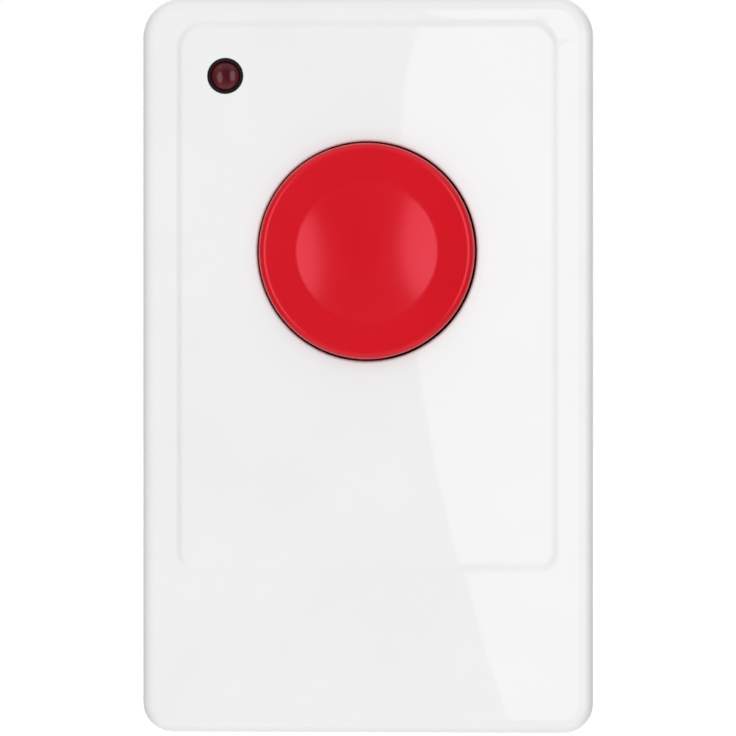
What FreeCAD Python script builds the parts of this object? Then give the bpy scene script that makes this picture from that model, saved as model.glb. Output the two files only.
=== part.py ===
import FreeCAD, Part
import math
import os

import Sketcher

# Wireless panic button for a wall: a white two-shell case, a large dished red
# button, a small status lamp, and a long-life cell behind a sliding door.
# Each piece is drawn lying on its back: x to the right, y up the wall and
# z towards the person who presses it. UPRIGHT then stands it on the wall, so
# the row's +Z is up, its Y = 0 is the wall, and the button faces -Y.

# Driving dimensions in millimetres, with angles in degrees.
SIZES = {
    # Case, measured at its widest, where the two shells meet
    "case_width": 49.0,
    "case_height": 80.0,
    "case_depth": 17.6,
    "parting_depth": 7.5,
    "top_corner_radius": 4.4,
    "bottom_corner_radius": 3.3,
    "front_edge_radius": 1.5,
    "rear_edge_bevel": 0.8,
    "face_wall": 1.6,
    "side_wall": 1.8,
    "rear_wall": 1.8,
    "lip_width": 0.8,
    "lip_reach": 1.2,
    "lip_clearance": 0.1,
    # Raised panel round the button
    "panel_width": 41.7,
    "panel_height": 59.85,
    "panel_top_margin": 2.55,
    "panel_rise": 0.4,
    "panel_slope": 0.9,
    "panel_top_radius": 3.1,
    "panel_bottom_radius": 2.1,
    # Button cap and the square frame that guides it
    "button_top_inset": 25.15,
    "button_radius": 11.7,
    "button_gap": 0.2,
    "button_proud": 1.5,
    "button_hole_bevel": 0.3,
    "dish_radius": 7.7,
    "dish_depth": 1.2,
    "cap_wall": 1.4,
    "cap_edge_radius": 0.9,
    "skirt_wall": 1.4,
    "lug_width": 4.0,
    "lug_overhang": 1.4,
    "lug_thickness": 1.0,
    "guide_clearance": 0.2,
    "guide_wall": 1.2,
    "guide_reach": 3.2,
    "key_width": 2.0,
    "key_clearance": 0.15,
    "cap_rib_width": 0.8,
    "cap_rib_reach": 1.0,
    "stem_width": 3.0,
    "stem_gap": 0.05,
    # Return spring under the cap
    "spring_radius": 5.2,
    "spring_wire": 0.5,
    "spring_turns": 2.3,
    "spring_clearance": 0.3,
    "spring_end_gap": 0.03,
    # Push switch on the board
    "switch_width": 6.0,
    "switch_height": 5.0,
    "switch_base_height": 3.2,
    "switch_cover_sheet": 0.3,
    "switch_cover_drop": 1.6,
    "switch_well_radius": 2.4,
    "switch_well_depth": 2.0,
    "plunger_radius": 1.75,
    "plunger_flange_radius": 2.2,
    "plunger_flange": 0.8,
    "plunger_clearance": 0.05,
    "terminal_width": 0.7,
    "terminal_sheet": 0.3,
    "terminal_offset": 2.25,
    "terminal_rise": 1.5,
    "terminal_tail": 0.8,
    # Status lamp, a round 3 mm diode in a black sleeve
    "lamp_side_inset": 5.45,
    "lamp_to_guide": 4.55,
    "lamp_radius": 1.5,
    "lamp_length": 5.3,
    "lamp_proud": 0.2,
    "lamp_dome": 0.5,
    "lamp_flange_radius": 1.9,
    "lamp_flange": 1.0,
    "lamp_lead": 0.5,
    "lamp_lead_pitch": 2.54,
    "lead_tail": 1.0,
    "lead_clearance": 0.15,
    "sleeve_wall": 0.35,
    "sleeve_clearance": 0.05,
    "sleeve_flange_reach": 1.0,
    "sleeve_recess": 0.1,
    # Circuit board, held between posts in front of it and pillars behind it
    "post_reach": 5.0,
    "post_width": 3.0,
    "post_inset": 4.0,
    "post_span": 25.0,
    "peg_width": 1.4,
    "peg_recess": 0.2,
    "peg_clearance": 0.1,
    "pillar_gap": 0.05,
    "board_thickness": 1.6,
    "board_clearance": 1.2,
    "board_to_door": 1.8,
    "board_notch_gap": 0.4,
    # Hooks at the top of the case, bosses and screws that close it below
    "hook_width": 6.0,
    "hook_offset": 10.0,
    "hook_sheet": 0.9,
    "hook_clearance": 0.1,
    "hook_root": 2.5,
    "hook_reach": 2.6,
    "barb_height": 0.5,
    "barb_length": 1.2,
    "boss_radius": 2.9,
    "boss_embed": 0.3,
    "boss_gap": 0.1,
    "boss_to_door": 7.0,
    "case_screw_radius": 1.1,
    "case_screw_length": 10.0,
    "case_screw_head_radius": 2.0,
    "case_screw_head": 1.4,
    "counterbore_clearance": 0.2,
    "counterbore_depth": 3.0,
    "screw_clearance": 0.2,
    "thread_fit": 0.02,
    "pilot_depth": 6.0,
    "cross_width": 0.5,
    "cross_span": 2.4,
    "cross_depth": 0.6,
    # Cell, its contacts and the tub that holds it
    "cell_radius": 5.15,
    "cell_length": 28.5,
    "cell_nub_radius": 1.6,
    "cell_nub": 0.8,
    "cell_to_bottom": 12.0,
    "cell_door_gap": 0.7,
    "cell_clearance": 0.3,
    "tub_wall": 1.2,
    "tub_roof": 1.0,
    "contact_sheet": 0.4,
    "contact_width": 7.0,
    "contact_clearance": 0.1,
    "contact_tail": 1.6,
    "contact_finger": 1.1,
    "finger_inset": 1.5,
    "finger_proud": 0.5,
    "leaf_bulge": 2.4,
    "leaf_width": 3.2,
    "leaf_span": 6.0,
    "leaf_tip": 1.0,
    "leaf_lift": 0.5,
    # Sliding battery door and its bed in the rear shell
    "door_thickness": 1.6,
    "door_play": 0.05,
    "door_clearance": 0.15,
    "door_side_overlap": 2.35,
    "door_top_overlap": 2.25,
    "tongue_reach": 1.2,
    "tongue_thickness": 0.8,
    "tab_width": 6.0,
    "tab_reach": 1.5,
    "bed_rise": 1.0,
    "bed_margin": 1.2,
    "bed_top_margin": 2.8,
    "grip_width": 12.0,
    "grip_groove": 0.8,
    "grip_depth": 0.4,
    "grip_pitch": 1.8,
    "grip_to_bottom": 4.0,
    # Keyholes that hang the case on two wall screws
    "keyhole_top_inset": 15.0,
    "keyhole_to_door": 10.3,
    "keyhole_entry_radius": 3.6,
    "keyhole_slot_width": 3.8,
    "keyhole_travel": 5.5,
    "hood_clearance": 0.9,
    "hood_wall": 1.0,
    "hood_depth": 3.2,
    # Parts soldered to the board
    "row_rise": 9.5,
    "chip_offset": 9.5,
    "chip_length": 8.65,
    "chip_width": 3.9,
    "chip_height": 1.5,
    "chip_standoff": 0.1,
    "chip_pitch": 1.27,
    "chip_lead_width": 0.4,
    "chip_lead_sheet": 0.2,
    "chip_lead_reach": 1.05,
    "chip_lead_foot": 0.5,
    "resonator_offset": -3.0,
    "resonator_width": 5.0,
    "resonator_height": 1.4,
    "resonator_rim": 0.35,
    "transistor_offset": -10.5,
    "transistor_length": 2.9,
    "transistor_width": 1.3,
    "transistor_height": 1.0,
    "transistor_lead": 0.45,
    "transistor_lead_reach": 0.55,
    "small_part_length": 1.6,
    "small_part_width": 0.8,
    "small_capacitor_height": 0.8,
    "small_resistor_height": 0.45,
    "small_part_pitch": 4.0,
    "small_part_rise": 3.6,
    "can_offset": 12.0,
    "can_drop": 7.5,
    "can_radius": 2.5,
    "can_height": 5.4,
    "can_base": 0.8,
    "can_base_margin": 0.15,
    # Loop aerial above the button
    "aerial_to_guide": 4.4,
    "aerial_start": -7.0,
    "aerial_length": 22.0,
    "aerial_wire": 0.8,
    "aerial_rise": 3.4,
}

doc = FreeCAD.newDocument("panic_button")
sheet = doc.addObject("Spreadsheet::Sheet", "sizes")
for row, (alias, number) in enumerate(SIZES.items(), start=1):
    sheet.set(f"A{row}", alias)
    sheet.set(f"B{row}", str(number))
    sheet.setAlias(f"B{row}", alias)
doc.recompute()

UPRIGHT = FreeCAD.Rotation(FreeCAD.Vector(1, 0, 0), 90)
ALONG_X = FreeCAD.Rotation(FreeCAD.Vector(0, 1, 0), 90)
FULL_TURN = 360.0
# How close two places of an edge are to count as one.
NEAR = 1e-4

# Places that several pieces share, worked out from the driving dimensions.
HALF_WIDTH = "sizes.case_width / 2"
HALF_HEIGHT = "sizes.case_height / 2"
INNER_FACE = "(sizes.case_depth - sizes.face_wall)"
PANEL_FACE = "(sizes.case_depth + sizes.panel_rise)"
PANEL_TOP = f"({HALF_HEIGHT} - sizes.panel_top_margin)"
LIP_FACE = "(sizes.parting_depth + sizes.lip_reach)"
BUTTON_UP = f"({PANEL_TOP} - sizes.button_top_inset)"
HOLE_RADIUS = "(sizes.button_radius + sizes.button_gap)"
LUG_REACH = "(sizes.button_radius + sizes.lug_overhang)"
GUIDE_INNER = f"({LUG_REACH} + sizes.guide_clearance)"
GUIDE_OUTER = f"({GUIDE_INNER} + sizes.guide_wall)"
AERIAL_UP = f"({BUTTON_UP} + {GUIDE_OUTER} + sizes.aerial_to_guide)"
BOARD_FRONT = f"({INNER_FACE} - sizes.post_reach)"
BOARD_REAR = f"({BOARD_FRONT} - sizes.board_thickness)"
CAP_TOP = f"({PANEL_FACE} + sizes.button_proud)"
CORE_FACE = f"({CAP_TOP} - sizes.dish_depth - sizes.cap_wall)"
SWITCH_TOP = f"({BOARD_FRONT} + sizes.switch_height)"
SWITCH_SHELF = f"({BOARD_FRONT} + sizes.switch_base_height)"
SLEEVE_RADIUS = "(sizes.lamp_radius + sizes.sleeve_clearance + sizes.sleeve_wall)"
LAMP_X = "-(sizes.panel_width / 2 - sizes.lamp_side_inset)"
LAMP_UP = f"({BUTTON_UP} + {GUIDE_OUTER} + sizes.lamp_to_guide)"
LAMP_APEX = f"({PANEL_FACE} + sizes.lamp_proud)"
LAMP_REAR = f"({LAMP_APEX} - sizes.lamp_length)"
LAMP_SHOULDER = f"({LAMP_REAR} + sizes.lamp_flange)"
DOOR_FRONT = "(sizes.door_thickness + sizes.door_play)"
CELL_UP = f"-({HALF_HEIGHT} - sizes.cell_to_bottom)"
CELL_DEPTH = f"({DOOR_FRONT} + sizes.cell_door_gap + sizes.cell_radius)"
TUB_HALF_LENGTH = (
    "((sizes.cell_length + sizes.leaf_bulge) / 2 + sizes.contact_sheet)"
)
TUB_HALF_HEIGHT = "(sizes.cell_radius + sizes.cell_clearance)"
TUB_CEILING = f"({CELL_DEPTH} + sizes.cell_radius + sizes.cell_clearance)"
TUB_FRONT = f"({TUB_CEILING} + sizes.tub_roof)"
DOOR_TOP = f"({CELL_UP} + {TUB_HALF_HEIGHT} + sizes.door_top_overlap)"
DOOR_HALF_WIDTH = f"({TUB_HALF_LENGTH} + sizes.door_side_overlap)"
BED_TOP = f"({DOOR_TOP} + sizes.door_clearance)"
BED_HALF_WIDTH = f"({DOOR_HALF_WIDTH} + sizes.door_clearance)"
TONGUE_REAR = "(sizes.door_thickness - sizes.tongue_thickness)"
INNER_TOP = f"({HALF_HEIGHT} - sizes.side_wall)"
HOOK_TOP = f"({INNER_TOP} - sizes.hook_clearance)"
HOOK_FRONT = f"({LIP_FACE} + sizes.hook_reach)"
BOSS_X = f"({HALF_WIDTH} - sizes.side_wall - sizes.boss_radius + sizes.boss_embed)"
BOSS_UP = f"({DOOR_TOP} + sizes.boss_to_door)"
BOSS_PLACES = [(BOSS_X, BOSS_UP), (f"-{BOSS_X}", BOSS_UP)]
BOARD_HALF_WIDTH = f"({HALF_WIDTH} - sizes.side_wall - sizes.board_clearance)"
BOARD_TOP = f"({HALF_HEIGHT} - sizes.side_wall - sizes.board_clearance)"
BOARD_BOTTOM = f"({DOOR_TOP} + sizes.board_to_door)"
POST_X = f"({BOARD_HALF_WIDTH} - sizes.post_inset)"
UPPER_POST_UP = f"({BUTTON_UP} + sizes.post_span / 2)"
LOWER_POST_UP = f"({BUTTON_UP} - sizes.post_span / 2)"
PEG_PLACES = [(POST_X, UPPER_POST_UP), (f"-{POST_X}", LOWER_POST_UP)]
POST_PLACES = [*PEG_PLACES, (f"-{POST_X}", UPPER_POST_UP), (POST_X, LOWER_POST_UP)]
FINGER_UP = f"({BOARD_BOTTOM} + sizes.finger_inset)"
ROW_UP = f"({BOARD_BOTTOM} + sizes.row_rise)"


def value(expression):
    """The number that an expression on the sheet stands for."""
    return float(sheet.evalExpression(expression))


def bind(item, **bound):
    """Binds properties of an object to expressions on the sheet."""
    for name, expression in bound.items():
        item.setExpression(name, expression)


def place(item, x="0", up="0", depth="0", turn=UPRIGHT):
    """Stands an object in the row's frame, that far from the wall."""
    item.Placement = FreeCAD.Placement(FreeCAD.Vector(), turn)
    item.setExpression("Placement.Base.x", x)
    item.setExpression("Placement.Base.y", f"-({depth})")
    item.setExpression("Placement.Base.z", up)


def new_body(label, **where):
    """An empty body with its label and place."""
    body = doc.addObject("PartDesign::Body", label)
    body.Label = label
    place(body, **where)
    return body


def origin_feature(body, role):
    """One of the body's own origin planes or axes."""
    return next(feature for feature in body.Origin.OriginFeatures if feature.Role == role)


def new_sketch(body, name, offset=None, role="XY_Plane"):
    """A sketch on an origin plane, moved along its normal by offset."""
    sketch = body.newObject("Sketcher::SketchObject", name)
    sketch.AttachmentSupport = [(origin_feature(body, role), "")]
    sketch.MapMode = "FlatFace"
    if offset:
        sketch.setExpression("AttachmentOffset.Base.z", offset)
    return sketch


def drive(sketch, kind, geometry, expression):
    """Adds a dimension to a sketch and binds it to the sheet."""
    index = sketch.addConstraint(Sketcher.Constraint(kind, *geometry, value(expression)))
    sketch.setExpression(f"Constraints[{index}]", expression)


def fix_point(sketch, geometry, point, x, y):
    """Holds one point of a sketch at its distances from the sketch's origin."""
    drive(sketch, "DistanceX", (-1, 1, geometry, point), x)
    drive(sketch, "DistanceY", (-1, 1, geometry, point), y)


def draw_circle(sketch, x, y, radius):
    """A circle given by its centre and radius."""
    centre = FreeCAD.Vector(value(x), value(y), 0)
    circle = Part.Circle(centre, FreeCAD.Vector(0, 0, 1), value(radius))
    index = sketch.addGeometry(circle)
    drive(sketch, "Radius", (index,), radius)
    fix_point(sketch, index, 3, x, y)


def draw_profile(sketch, corners):
    """A closed outline. A corner is (x, y), or (x, y, centre_x) before an arc."""
    count = len(corners)
    spans = []
    for here, after in zip(corners, corners[1:] + corners[:1]):
        start = FreeCAD.Vector(value(here[0]), value(here[1]), 0)
        end = FreeCAD.Vector(value(after[0]), value(after[1]), 0)
        if len(here) == 2:
            spans.append((sketch.addGeometry(Part.LineSegment(start, end)), 1, 2))
            continue
        centre_x = value(here[2])
        from_start = (start.x - centre_x) ** 2
        from_end = (end.x - centre_x) ** 2
        rise = end.y ** 2 - start.y ** 2 + from_end - from_start
        centre = FreeCAD.Vector(centre_x, rise / (2 * (end.y - start.y)), 0)
        first = start - centre
        last = end - centre
        turns_left = first.x * last.y - last.x * first.y > 0
        if not turns_left:
            first, last = last, first
        circle = Part.Circle(centre, FreeCAD.Vector(0, 0, 1), first.Length)
        arc = Part.ArcOfCircle(
            circle, math.atan2(first.y, first.x), math.atan2(last.y, last.x)
        )
        index = sketch.addGeometry(arc)
        spans.append((index, 1, 2) if turns_left else (index, 2, 1))
        drive(sketch, "DistanceX", (-1, 1, index, 3), here[2])
    for number, (index, first_point, last_point) in enumerate(spans):
        following = spans[(number + 1) % count]
        joint = Sketcher.Constraint("Coincident", index, last_point, following[0], following[1])
        sketch.addConstraint(joint)
        fix_point(sketch, index, first_point, corners[number][0], corners[number][1])


def draw_rectangle(sketch, left, right, bottom, top):
    """A rectangle given by its four sides."""
    draw_profile(sketch, [(left, bottom), (right, bottom), (right, top), (left, top)])


def draw_square(sketch, x, y, width):
    """A square given by its centre and width."""
    draw_rectangle(
        sketch, f"{x} - {width} / 2", f"{x} + {width} / 2", f"{y} - {width} / 2",
        f"{y} + {width} / 2",
    )


def draw_rounded(sketch, half_width, bottom, top, bottom_radius, top_radius):
    """A rectangle about the centre line, with its own radius at each end."""
    left = f"-({half_width})"
    draw_profile(sketch, [
        (f"{left} + {bottom_radius}", bottom),
        (f"{half_width} - {bottom_radius}", bottom, f"{half_width} - {bottom_radius}"),
        (half_width, f"{bottom} + {bottom_radius}"),
        (half_width, f"{top} - {top_radius}", f"{half_width} - {top_radius}"),
        (f"{half_width} - {top_radius}", top),
        (f"{left} + {top_radius}", top, f"{left} + {top_radius}"),
        (left, f"{top} - {top_radius}"),
        (left, f"{bottom} + {bottom_radius}", f"{left} + {bottom_radius}"),
    ])


def draw_case_outline(sketch, inset="0"):
    """The outline of the case, moved inwards by inset."""
    draw_rounded(
        sketch,
        f"({HALF_WIDTH} - {inset})",
        f"(-{HALF_HEIGHT} + {inset})",
        f"({HALF_HEIGHT} - {inset})",
        f"(sizes.bottom_corner_radius - {inset})",
        f"(sizes.top_corner_radius - {inset})",
    )


def quarter_round(radius, centre_x, centre_y):
    """Corners of a short-chord quarter circle, from its side to its crown."""
    corners = []
    for angle in (0, 45, 90):
        across = math.cos(math.radians(angle))
        along = math.sin(math.radians(angle))
        corners.append((
            f"{centre_x} + {radius} * {across:.5f}",
            f"{centre_y} + {radius} * {along:.5f}",
        ))
    return corners


def pad(body, sketch, length, rearwards=False):
    """Adds material in front of a sketch, or behind it."""
    feature = body.newObject("PartDesign::Pad", f"{sketch.Name}_pad")
    feature.Profile = sketch
    feature.Reversed = rearwards
    bind(feature, Length=length)
    body.Tip = feature
    doc.recompute()
    return feature


def cut(body, sketch, length=None, rearwards=False):
    """Cuts in front of a sketch, or behind it, right through with no length."""
    feature = body.newObject("PartDesign::Pocket", f"{sketch.Name}_cut")
    feature.Profile = sketch
    feature.Reversed = not rearwards
    if length:
        bind(feature, Length=length)
    else:
        feature.Type = "ThroughAll"
    body.Tip = feature
    doc.recompute()
    return feature


def revolve(body, sketch):
    """Turns a sketch all the way round its vertical axis."""
    feature = body.newObject("PartDesign::Revolution", f"{sketch.Name}_turned")
    feature.Profile = sketch
    feature.ReferenceAxis = (sketch, ["V_Axis"])
    feature.Angle = FULL_TURN
    body.Tip = feature
    doc.recompute()
    return feature


def dress_edges(body, name, chosen, radius=None, bevel=None):
    """Rounds or bevels the edges of the body's last feature that chosen picks."""
    base = body.Tip
    edges = base.Shape.Edges
    names = [f"Edge{number}" for number, edge in enumerate(edges, start=1) if chosen(edge)]
    if radius:
        feature = body.newObject("PartDesign::Fillet", name)
        bind(feature, Radius=radius)
    else:
        feature = body.newObject("PartDesign::Chamfer", name)
        bind(feature, Size=bevel)
    feature.Base = (base, names)
    body.Tip = feature
    doc.recompute()
    return feature


def edge_at_depth(edge, depth):
    """Whether an edge lies wholly at one depth."""
    box = edge.BoundBox
    return abs(box.ZMin - depth) < NEAR and abs(box.ZMax - depth) < NEAR


def new_box(name, corner, spans):
    """A block given by its near corner and its three spans."""
    block = doc.addObject("Part::Box", name)
    bind(block, Length=spans[0], Width=spans[1], Height=spans[2])
    for axis, expression in zip("xyz", corner):
        block.setExpression(f"Placement.Base.{axis}", expression)
    return block


def gather(label, kind, items, **where):
    """Joins or groups objects under one label, and places the result."""
    group = doc.addObject(kind, label)
    if kind == "Part::Compound":
        group.Links = items
    else:
        group.Shapes = items
    group.Label = label
    place(group, **where)
    doc.recompute()
    return group


pieces = []


# Front cover: the moulded face of the case, with the raised panel, the button
# hole and the square frame that guides the button, four posts for the board,
# bosses for the case screws and pockets for the barbs of the rear cover.
front_cover = new_body("front_cover")
pieces.append(front_cover)
sketch = new_sketch(front_cover, "face_outline", "sizes.parting_depth")
draw_case_outline(sketch)
pad(front_cover, sketch, "sizes.case_depth - sizes.parting_depth")
face_depth = value("sizes.case_depth")
dress_edges(
    front_cover, "face_edge", lambda edge: edge_at_depth(edge, face_depth),
    radius="sizes.front_edge_radius",
)

panel_sections = []
for name, depth, spread in (
    ("panel_foot", "sizes.case_depth", "0"),
    ("panel_top", PANEL_FACE, "sizes.panel_slope"),
):
    sketch = new_sketch(front_cover, name, depth)
    draw_rounded(
        sketch,
        f"(sizes.panel_width / 2 - {spread})",
        f"({PANEL_TOP} - sizes.panel_height + {spread})",
        f"({PANEL_TOP} - {spread})",
        f"(sizes.panel_bottom_radius - {spread})",
        f"(sizes.panel_top_radius - {spread})",
    )
    panel_sections.append(sketch)
panel = front_cover.newObject("PartDesign::AdditiveLoft", "panel")
panel.Profile = panel_sections[0]
panel.Sections = panel_sections[1:]
panel.Ruled = True
front_cover.Tip = panel
doc.recompute()

sketch = new_sketch(front_cover, "face_hollow", "sizes.parting_depth")
draw_case_outline(sketch, "sizes.side_wall")
cut(front_cover, sketch, f"{INNER_FACE} - sizes.parting_depth")
sketch = new_sketch(front_cover, "lip_rebate", "sizes.parting_depth")
draw_case_outline(sketch, "(sizes.side_wall - sizes.lip_width - sizes.lip_clearance)")
cut(front_cover, sketch, "sizes.lip_reach + sizes.lip_clearance")

sketch = new_sketch(front_cover, "guide_frame", INNER_FACE)
draw_square(sketch, "0", BUTTON_UP, f"(2 * {GUIDE_OUTER})")
draw_square(sketch, "0", BUTTON_UP, f"(2 * {GUIDE_INNER})")
pad(front_cover, sketch, "sizes.guide_reach", rearwards=True)
sketch = new_sketch(front_cover, "key_notches", INNER_FACE)
notch_half = "(sizes.key_width / 2 + sizes.key_clearance)"
draw_rectangle(
    sketch, f"-{GUIDE_OUTER}", GUIDE_OUTER,
    f"{BUTTON_UP} - {notch_half}", f"{BUTTON_UP} + {notch_half}",
)
cut(front_cover, sketch, "sizes.guide_reach", rearwards=True)

sketch = new_sketch(front_cover, "board_posts", INNER_FACE)
for x, up in POST_PLACES:
    draw_square(sketch, x, up, "sizes.post_width")
pad(front_cover, sketch, "sizes.post_reach", rearwards=True)
sketch = new_sketch(front_cover, "board_pegs", BOARD_FRONT)
for x, up in PEG_PLACES:
    draw_square(sketch, x, up, "sizes.peg_width")
pad(front_cover, sketch, "sizes.board_thickness - sizes.peg_recess", rearwards=True)
sketch = new_sketch(front_cover, "case_bosses", INNER_FACE)
for x, up in BOSS_PLACES:
    draw_circle(sketch, x, up, "sizes.boss_radius")
pad(front_cover, sketch, f"{INNER_FACE} - {LIP_FACE} - sizes.boss_gap", rearwards=True)

sketch = new_sketch(front_cover, "case_pilots", f"{LIP_FACE} + sizes.boss_gap")
for x, up in BOSS_PLACES:
    draw_circle(sketch, x, up, "sizes.case_screw_radius + sizes.thread_fit")
cut(front_cover, sketch, "sizes.pilot_depth")

sketch = new_sketch(front_cover, "button_hole", INNER_FACE)
draw_circle(sketch, "0", BUTTON_UP, HOLE_RADIUS)
cut(front_cover, sketch)
sketch = new_sketch(front_cover, "lamp_hole", INNER_FACE)
draw_circle(sketch, LAMP_X, LAMP_UP, f"{SLEEVE_RADIUS} + sizes.sleeve_clearance")
cut(front_cover, sketch)
panel_depth = value(PANEL_FACE)
hole_radius = value(HOLE_RADIUS)
dress_edges(
    front_cover, "button_hole_edge",
    lambda edge: edge_at_depth(edge, panel_depth)
    and hasattr(edge.Curve, "Radius")
    and abs(edge.Curve.Radius - hole_radius) < NEAR,
    bevel="sizes.button_hole_bevel",
)
BARB_REAR = f"({HOOK_FRONT} - sizes.barb_length)"
sketch = new_sketch(front_cover, "barb_pockets", f"{BARB_REAR} - sizes.hook_clearance")
for side in ("+", "-"):
    middle = f"(0 {side} sizes.hook_offset)"
    reach = "(sizes.hook_width / 2 + sizes.hook_clearance)"
    draw_rectangle(
        sketch, f"{middle} - {reach}", f"{middle} + {reach}",
        f"{INNER_TOP} - sizes.hook_clearance", f"{INNER_TOP} + sizes.barb_height",
    )
cut(front_cover, sketch, "sizes.barb_length + 2 * sizes.hook_clearance")


# Rear cover: the moulded back, with a lip and two barbed hooks that locate the
# front cover, bosses for the case screws, pillars that press on the board, two
# keyholes under hoods, and the tub of the cell with the bed of its door.
rear_cover = new_body("rear_cover")
pieces.append(rear_cover)
sketch = new_sketch(rear_cover, "back_outline", "sizes.parting_depth")
draw_case_outline(sketch)
pad(rear_cover, sketch, "sizes.parting_depth", rearwards=True)
dress_edges(
    rear_cover, "back_edge", lambda edge: edge_at_depth(edge, 0.0),
    bevel="sizes.rear_edge_bevel",
)
sketch = new_sketch(rear_cover, "back_hollow", "sizes.parting_depth")
draw_case_outline(sketch, "sizes.side_wall")
cut(rear_cover, sketch, "sizes.parting_depth - sizes.rear_wall", rearwards=True)
sketch = new_sketch(rear_cover, "lip", "sizes.parting_depth")
draw_case_outline(sketch, "(sizes.side_wall - sizes.lip_width)")
draw_case_outline(sketch, "sizes.side_wall")
pad(rear_cover, sketch, "sizes.lip_reach")

for name, start, reach, top in (
    ("hook_roots", "sizes.parting_depth - sizes.hook_root",
     "sizes.hook_root + sizes.lip_reach", f"{INNER_TOP} + sizes.lip_width / 2"),
    ("hook_arms", LIP_FACE, "sizes.hook_reach", HOOK_TOP),
    ("hook_barbs", BARB_REAR, "sizes.barb_length", f"{HOOK_TOP} + sizes.barb_height"),
):
    sketch = new_sketch(rear_cover, name, start)
    for side in ("+", "-"):
        middle = f"(0 {side} sizes.hook_offset)"
        draw_rectangle(
            sketch, f"{middle} - sizes.hook_width / 2", f"{middle} + sizes.hook_width / 2",
            f"{HOOK_TOP} - sizes.hook_sheet", top,
        )
    pad(rear_cover, sketch, reach)

sketch = new_sketch(rear_cover, "door_bed", "sizes.rear_wall")
bed_half = f"({BED_HALF_WIDTH} + sizes.tongue_reach + sizes.bed_margin)"
draw_rectangle(
    sketch, f"-{bed_half}", bed_half,
    f"-({HALF_HEIGHT} - sizes.side_wall / 2)", f"{BED_TOP} + sizes.bed_top_margin",
)
pad(rear_cover, sketch, "sizes.bed_rise")
sketch = new_sketch(rear_cover, "tub", "sizes.rear_wall")
draw_rectangle(
    sketch,
    f"-({TUB_HALF_LENGTH} + sizes.tub_wall)", f"{TUB_HALF_LENGTH} + sizes.tub_wall",
    f"{CELL_UP} - {TUB_HALF_HEIGHT} - sizes.tub_wall",
    f"{CELL_UP} + {TUB_HALF_HEIGHT} + sizes.tub_wall",
)
pad(rear_cover, sketch, f"{TUB_FRONT} - sizes.rear_wall")

KEYHOLE_PLACES = [
    f"({HALF_HEIGHT} - sizes.keyhole_top_inset)",
    f"({DOOR_TOP} + sizes.keyhole_to_door)",
]
HOOD_HALF_WIDTH = "(sizes.keyhole_entry_radius + sizes.hood_clearance)"
for name, margin, depth in (
    ("hoods", "sizes.hood_wall", "sizes.hood_depth + sizes.hood_wall"),
    ("hood_hollows", "0", "sizes.hood_depth"),
):
    sketch = new_sketch(rear_cover, name, "sizes.rear_wall")
    for up in KEYHOLE_PLACES:
        draw_rectangle(
            sketch,
            f"-({HOOD_HALF_WIDTH} + {margin})", f"{HOOD_HALF_WIDTH} + {margin}",
            f"{up} - {HOOD_HALF_WIDTH} - {margin}",
            f"{up} + sizes.keyhole_travel + {HOOD_HALF_WIDTH} + {margin}",
        )
    if name == "hoods":
        pad(rear_cover, sketch, depth)
    else:
        cut(rear_cover, sketch, depth)
sketch = new_sketch(rear_cover, "keyhole_entries")
for up in KEYHOLE_PLACES:
    draw_circle(sketch, "0", up, "sizes.keyhole_entry_radius")
cut(rear_cover, sketch, "sizes.rear_wall")
sketch = new_sketch(rear_cover, "keyhole_slots")
slot_half = "sizes.keyhole_slot_width / 2"
for up in KEYHOLE_PLACES:
    slot_end = f"({up} + sizes.keyhole_travel)"
    draw_profile(sketch, [
        (f"-{slot_half}", up),
        (slot_half, up),
        (slot_half, slot_end, "0"),
        ("0", f"{slot_end} + {slot_half}", "0"),
        (f"-{slot_half}", slot_end),
    ])
cut(rear_cover, sketch, "sizes.rear_wall")

sketch = new_sketch(rear_cover, "rear_bosses", "sizes.rear_wall")
for x, up in BOSS_PLACES:
    draw_circle(sketch, x, up, "sizes.boss_radius")
pad(rear_cover, sketch, f"{LIP_FACE} - sizes.rear_wall")
sketch = new_sketch(rear_cover, "board_pillars", "sizes.rear_wall")
for x, up in POST_PLACES:
    draw_square(sketch, x, up, "sizes.post_width")
pad(rear_cover, sketch, f"{BOARD_REAR} - sizes.pillar_gap - sizes.rear_wall")
sketch = new_sketch(rear_cover, "counterbores")
for x, up in BOSS_PLACES:
    radius = "sizes.case_screw_head_radius + sizes.counterbore_clearance"
    draw_circle(sketch, x, up, radius)
cut(rear_cover, sketch, "sizes.counterbore_depth")
sketch = new_sketch(rear_cover, "screw_holes")
for x, up in BOSS_PLACES:
    draw_circle(sketch, x, up, "sizes.case_screw_radius + sizes.screw_clearance")
cut(rear_cover, sketch)

sketch = new_sketch(rear_cover, "tub_hollow")
draw_rectangle(
    sketch, f"-{TUB_HALF_LENGTH}", TUB_HALF_LENGTH,
    f"{CELL_UP} - {TUB_HALF_HEIGHT}", f"{CELL_UP} + {TUB_HALF_HEIGHT}",
)
cut(rear_cover, sketch, TUB_CEILING)
sketch = new_sketch(rear_cover, "door_recess")
draw_rectangle(sketch, f"-{BED_HALF_WIDTH}", BED_HALF_WIDTH, f"-{HALF_HEIGHT}", BED_TOP)
cut(rear_cover, sketch, DOOR_FRONT)
tongue_bed = f"({TONGUE_REAR} - sizes.door_play)"
for name, half, bottom, top in (
    ("tongue_grooves", f"({BED_HALF_WIDTH} + sizes.tongue_reach)", f"-{HALF_HEIGHT}", BED_TOP),
    (
        "tab_pocket", "(sizes.tab_width / 2 + sizes.door_clearance)",
        CELL_UP, f"{BED_TOP} + sizes.tab_reach",
    ),
):
    sketch = new_sketch(rear_cover, name, tongue_bed)
    draw_rectangle(sketch, f"-{half}", half, bottom, top)
    cut(rear_cover, sketch, f"{DOOR_FRONT} - {tongue_bed}")

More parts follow.
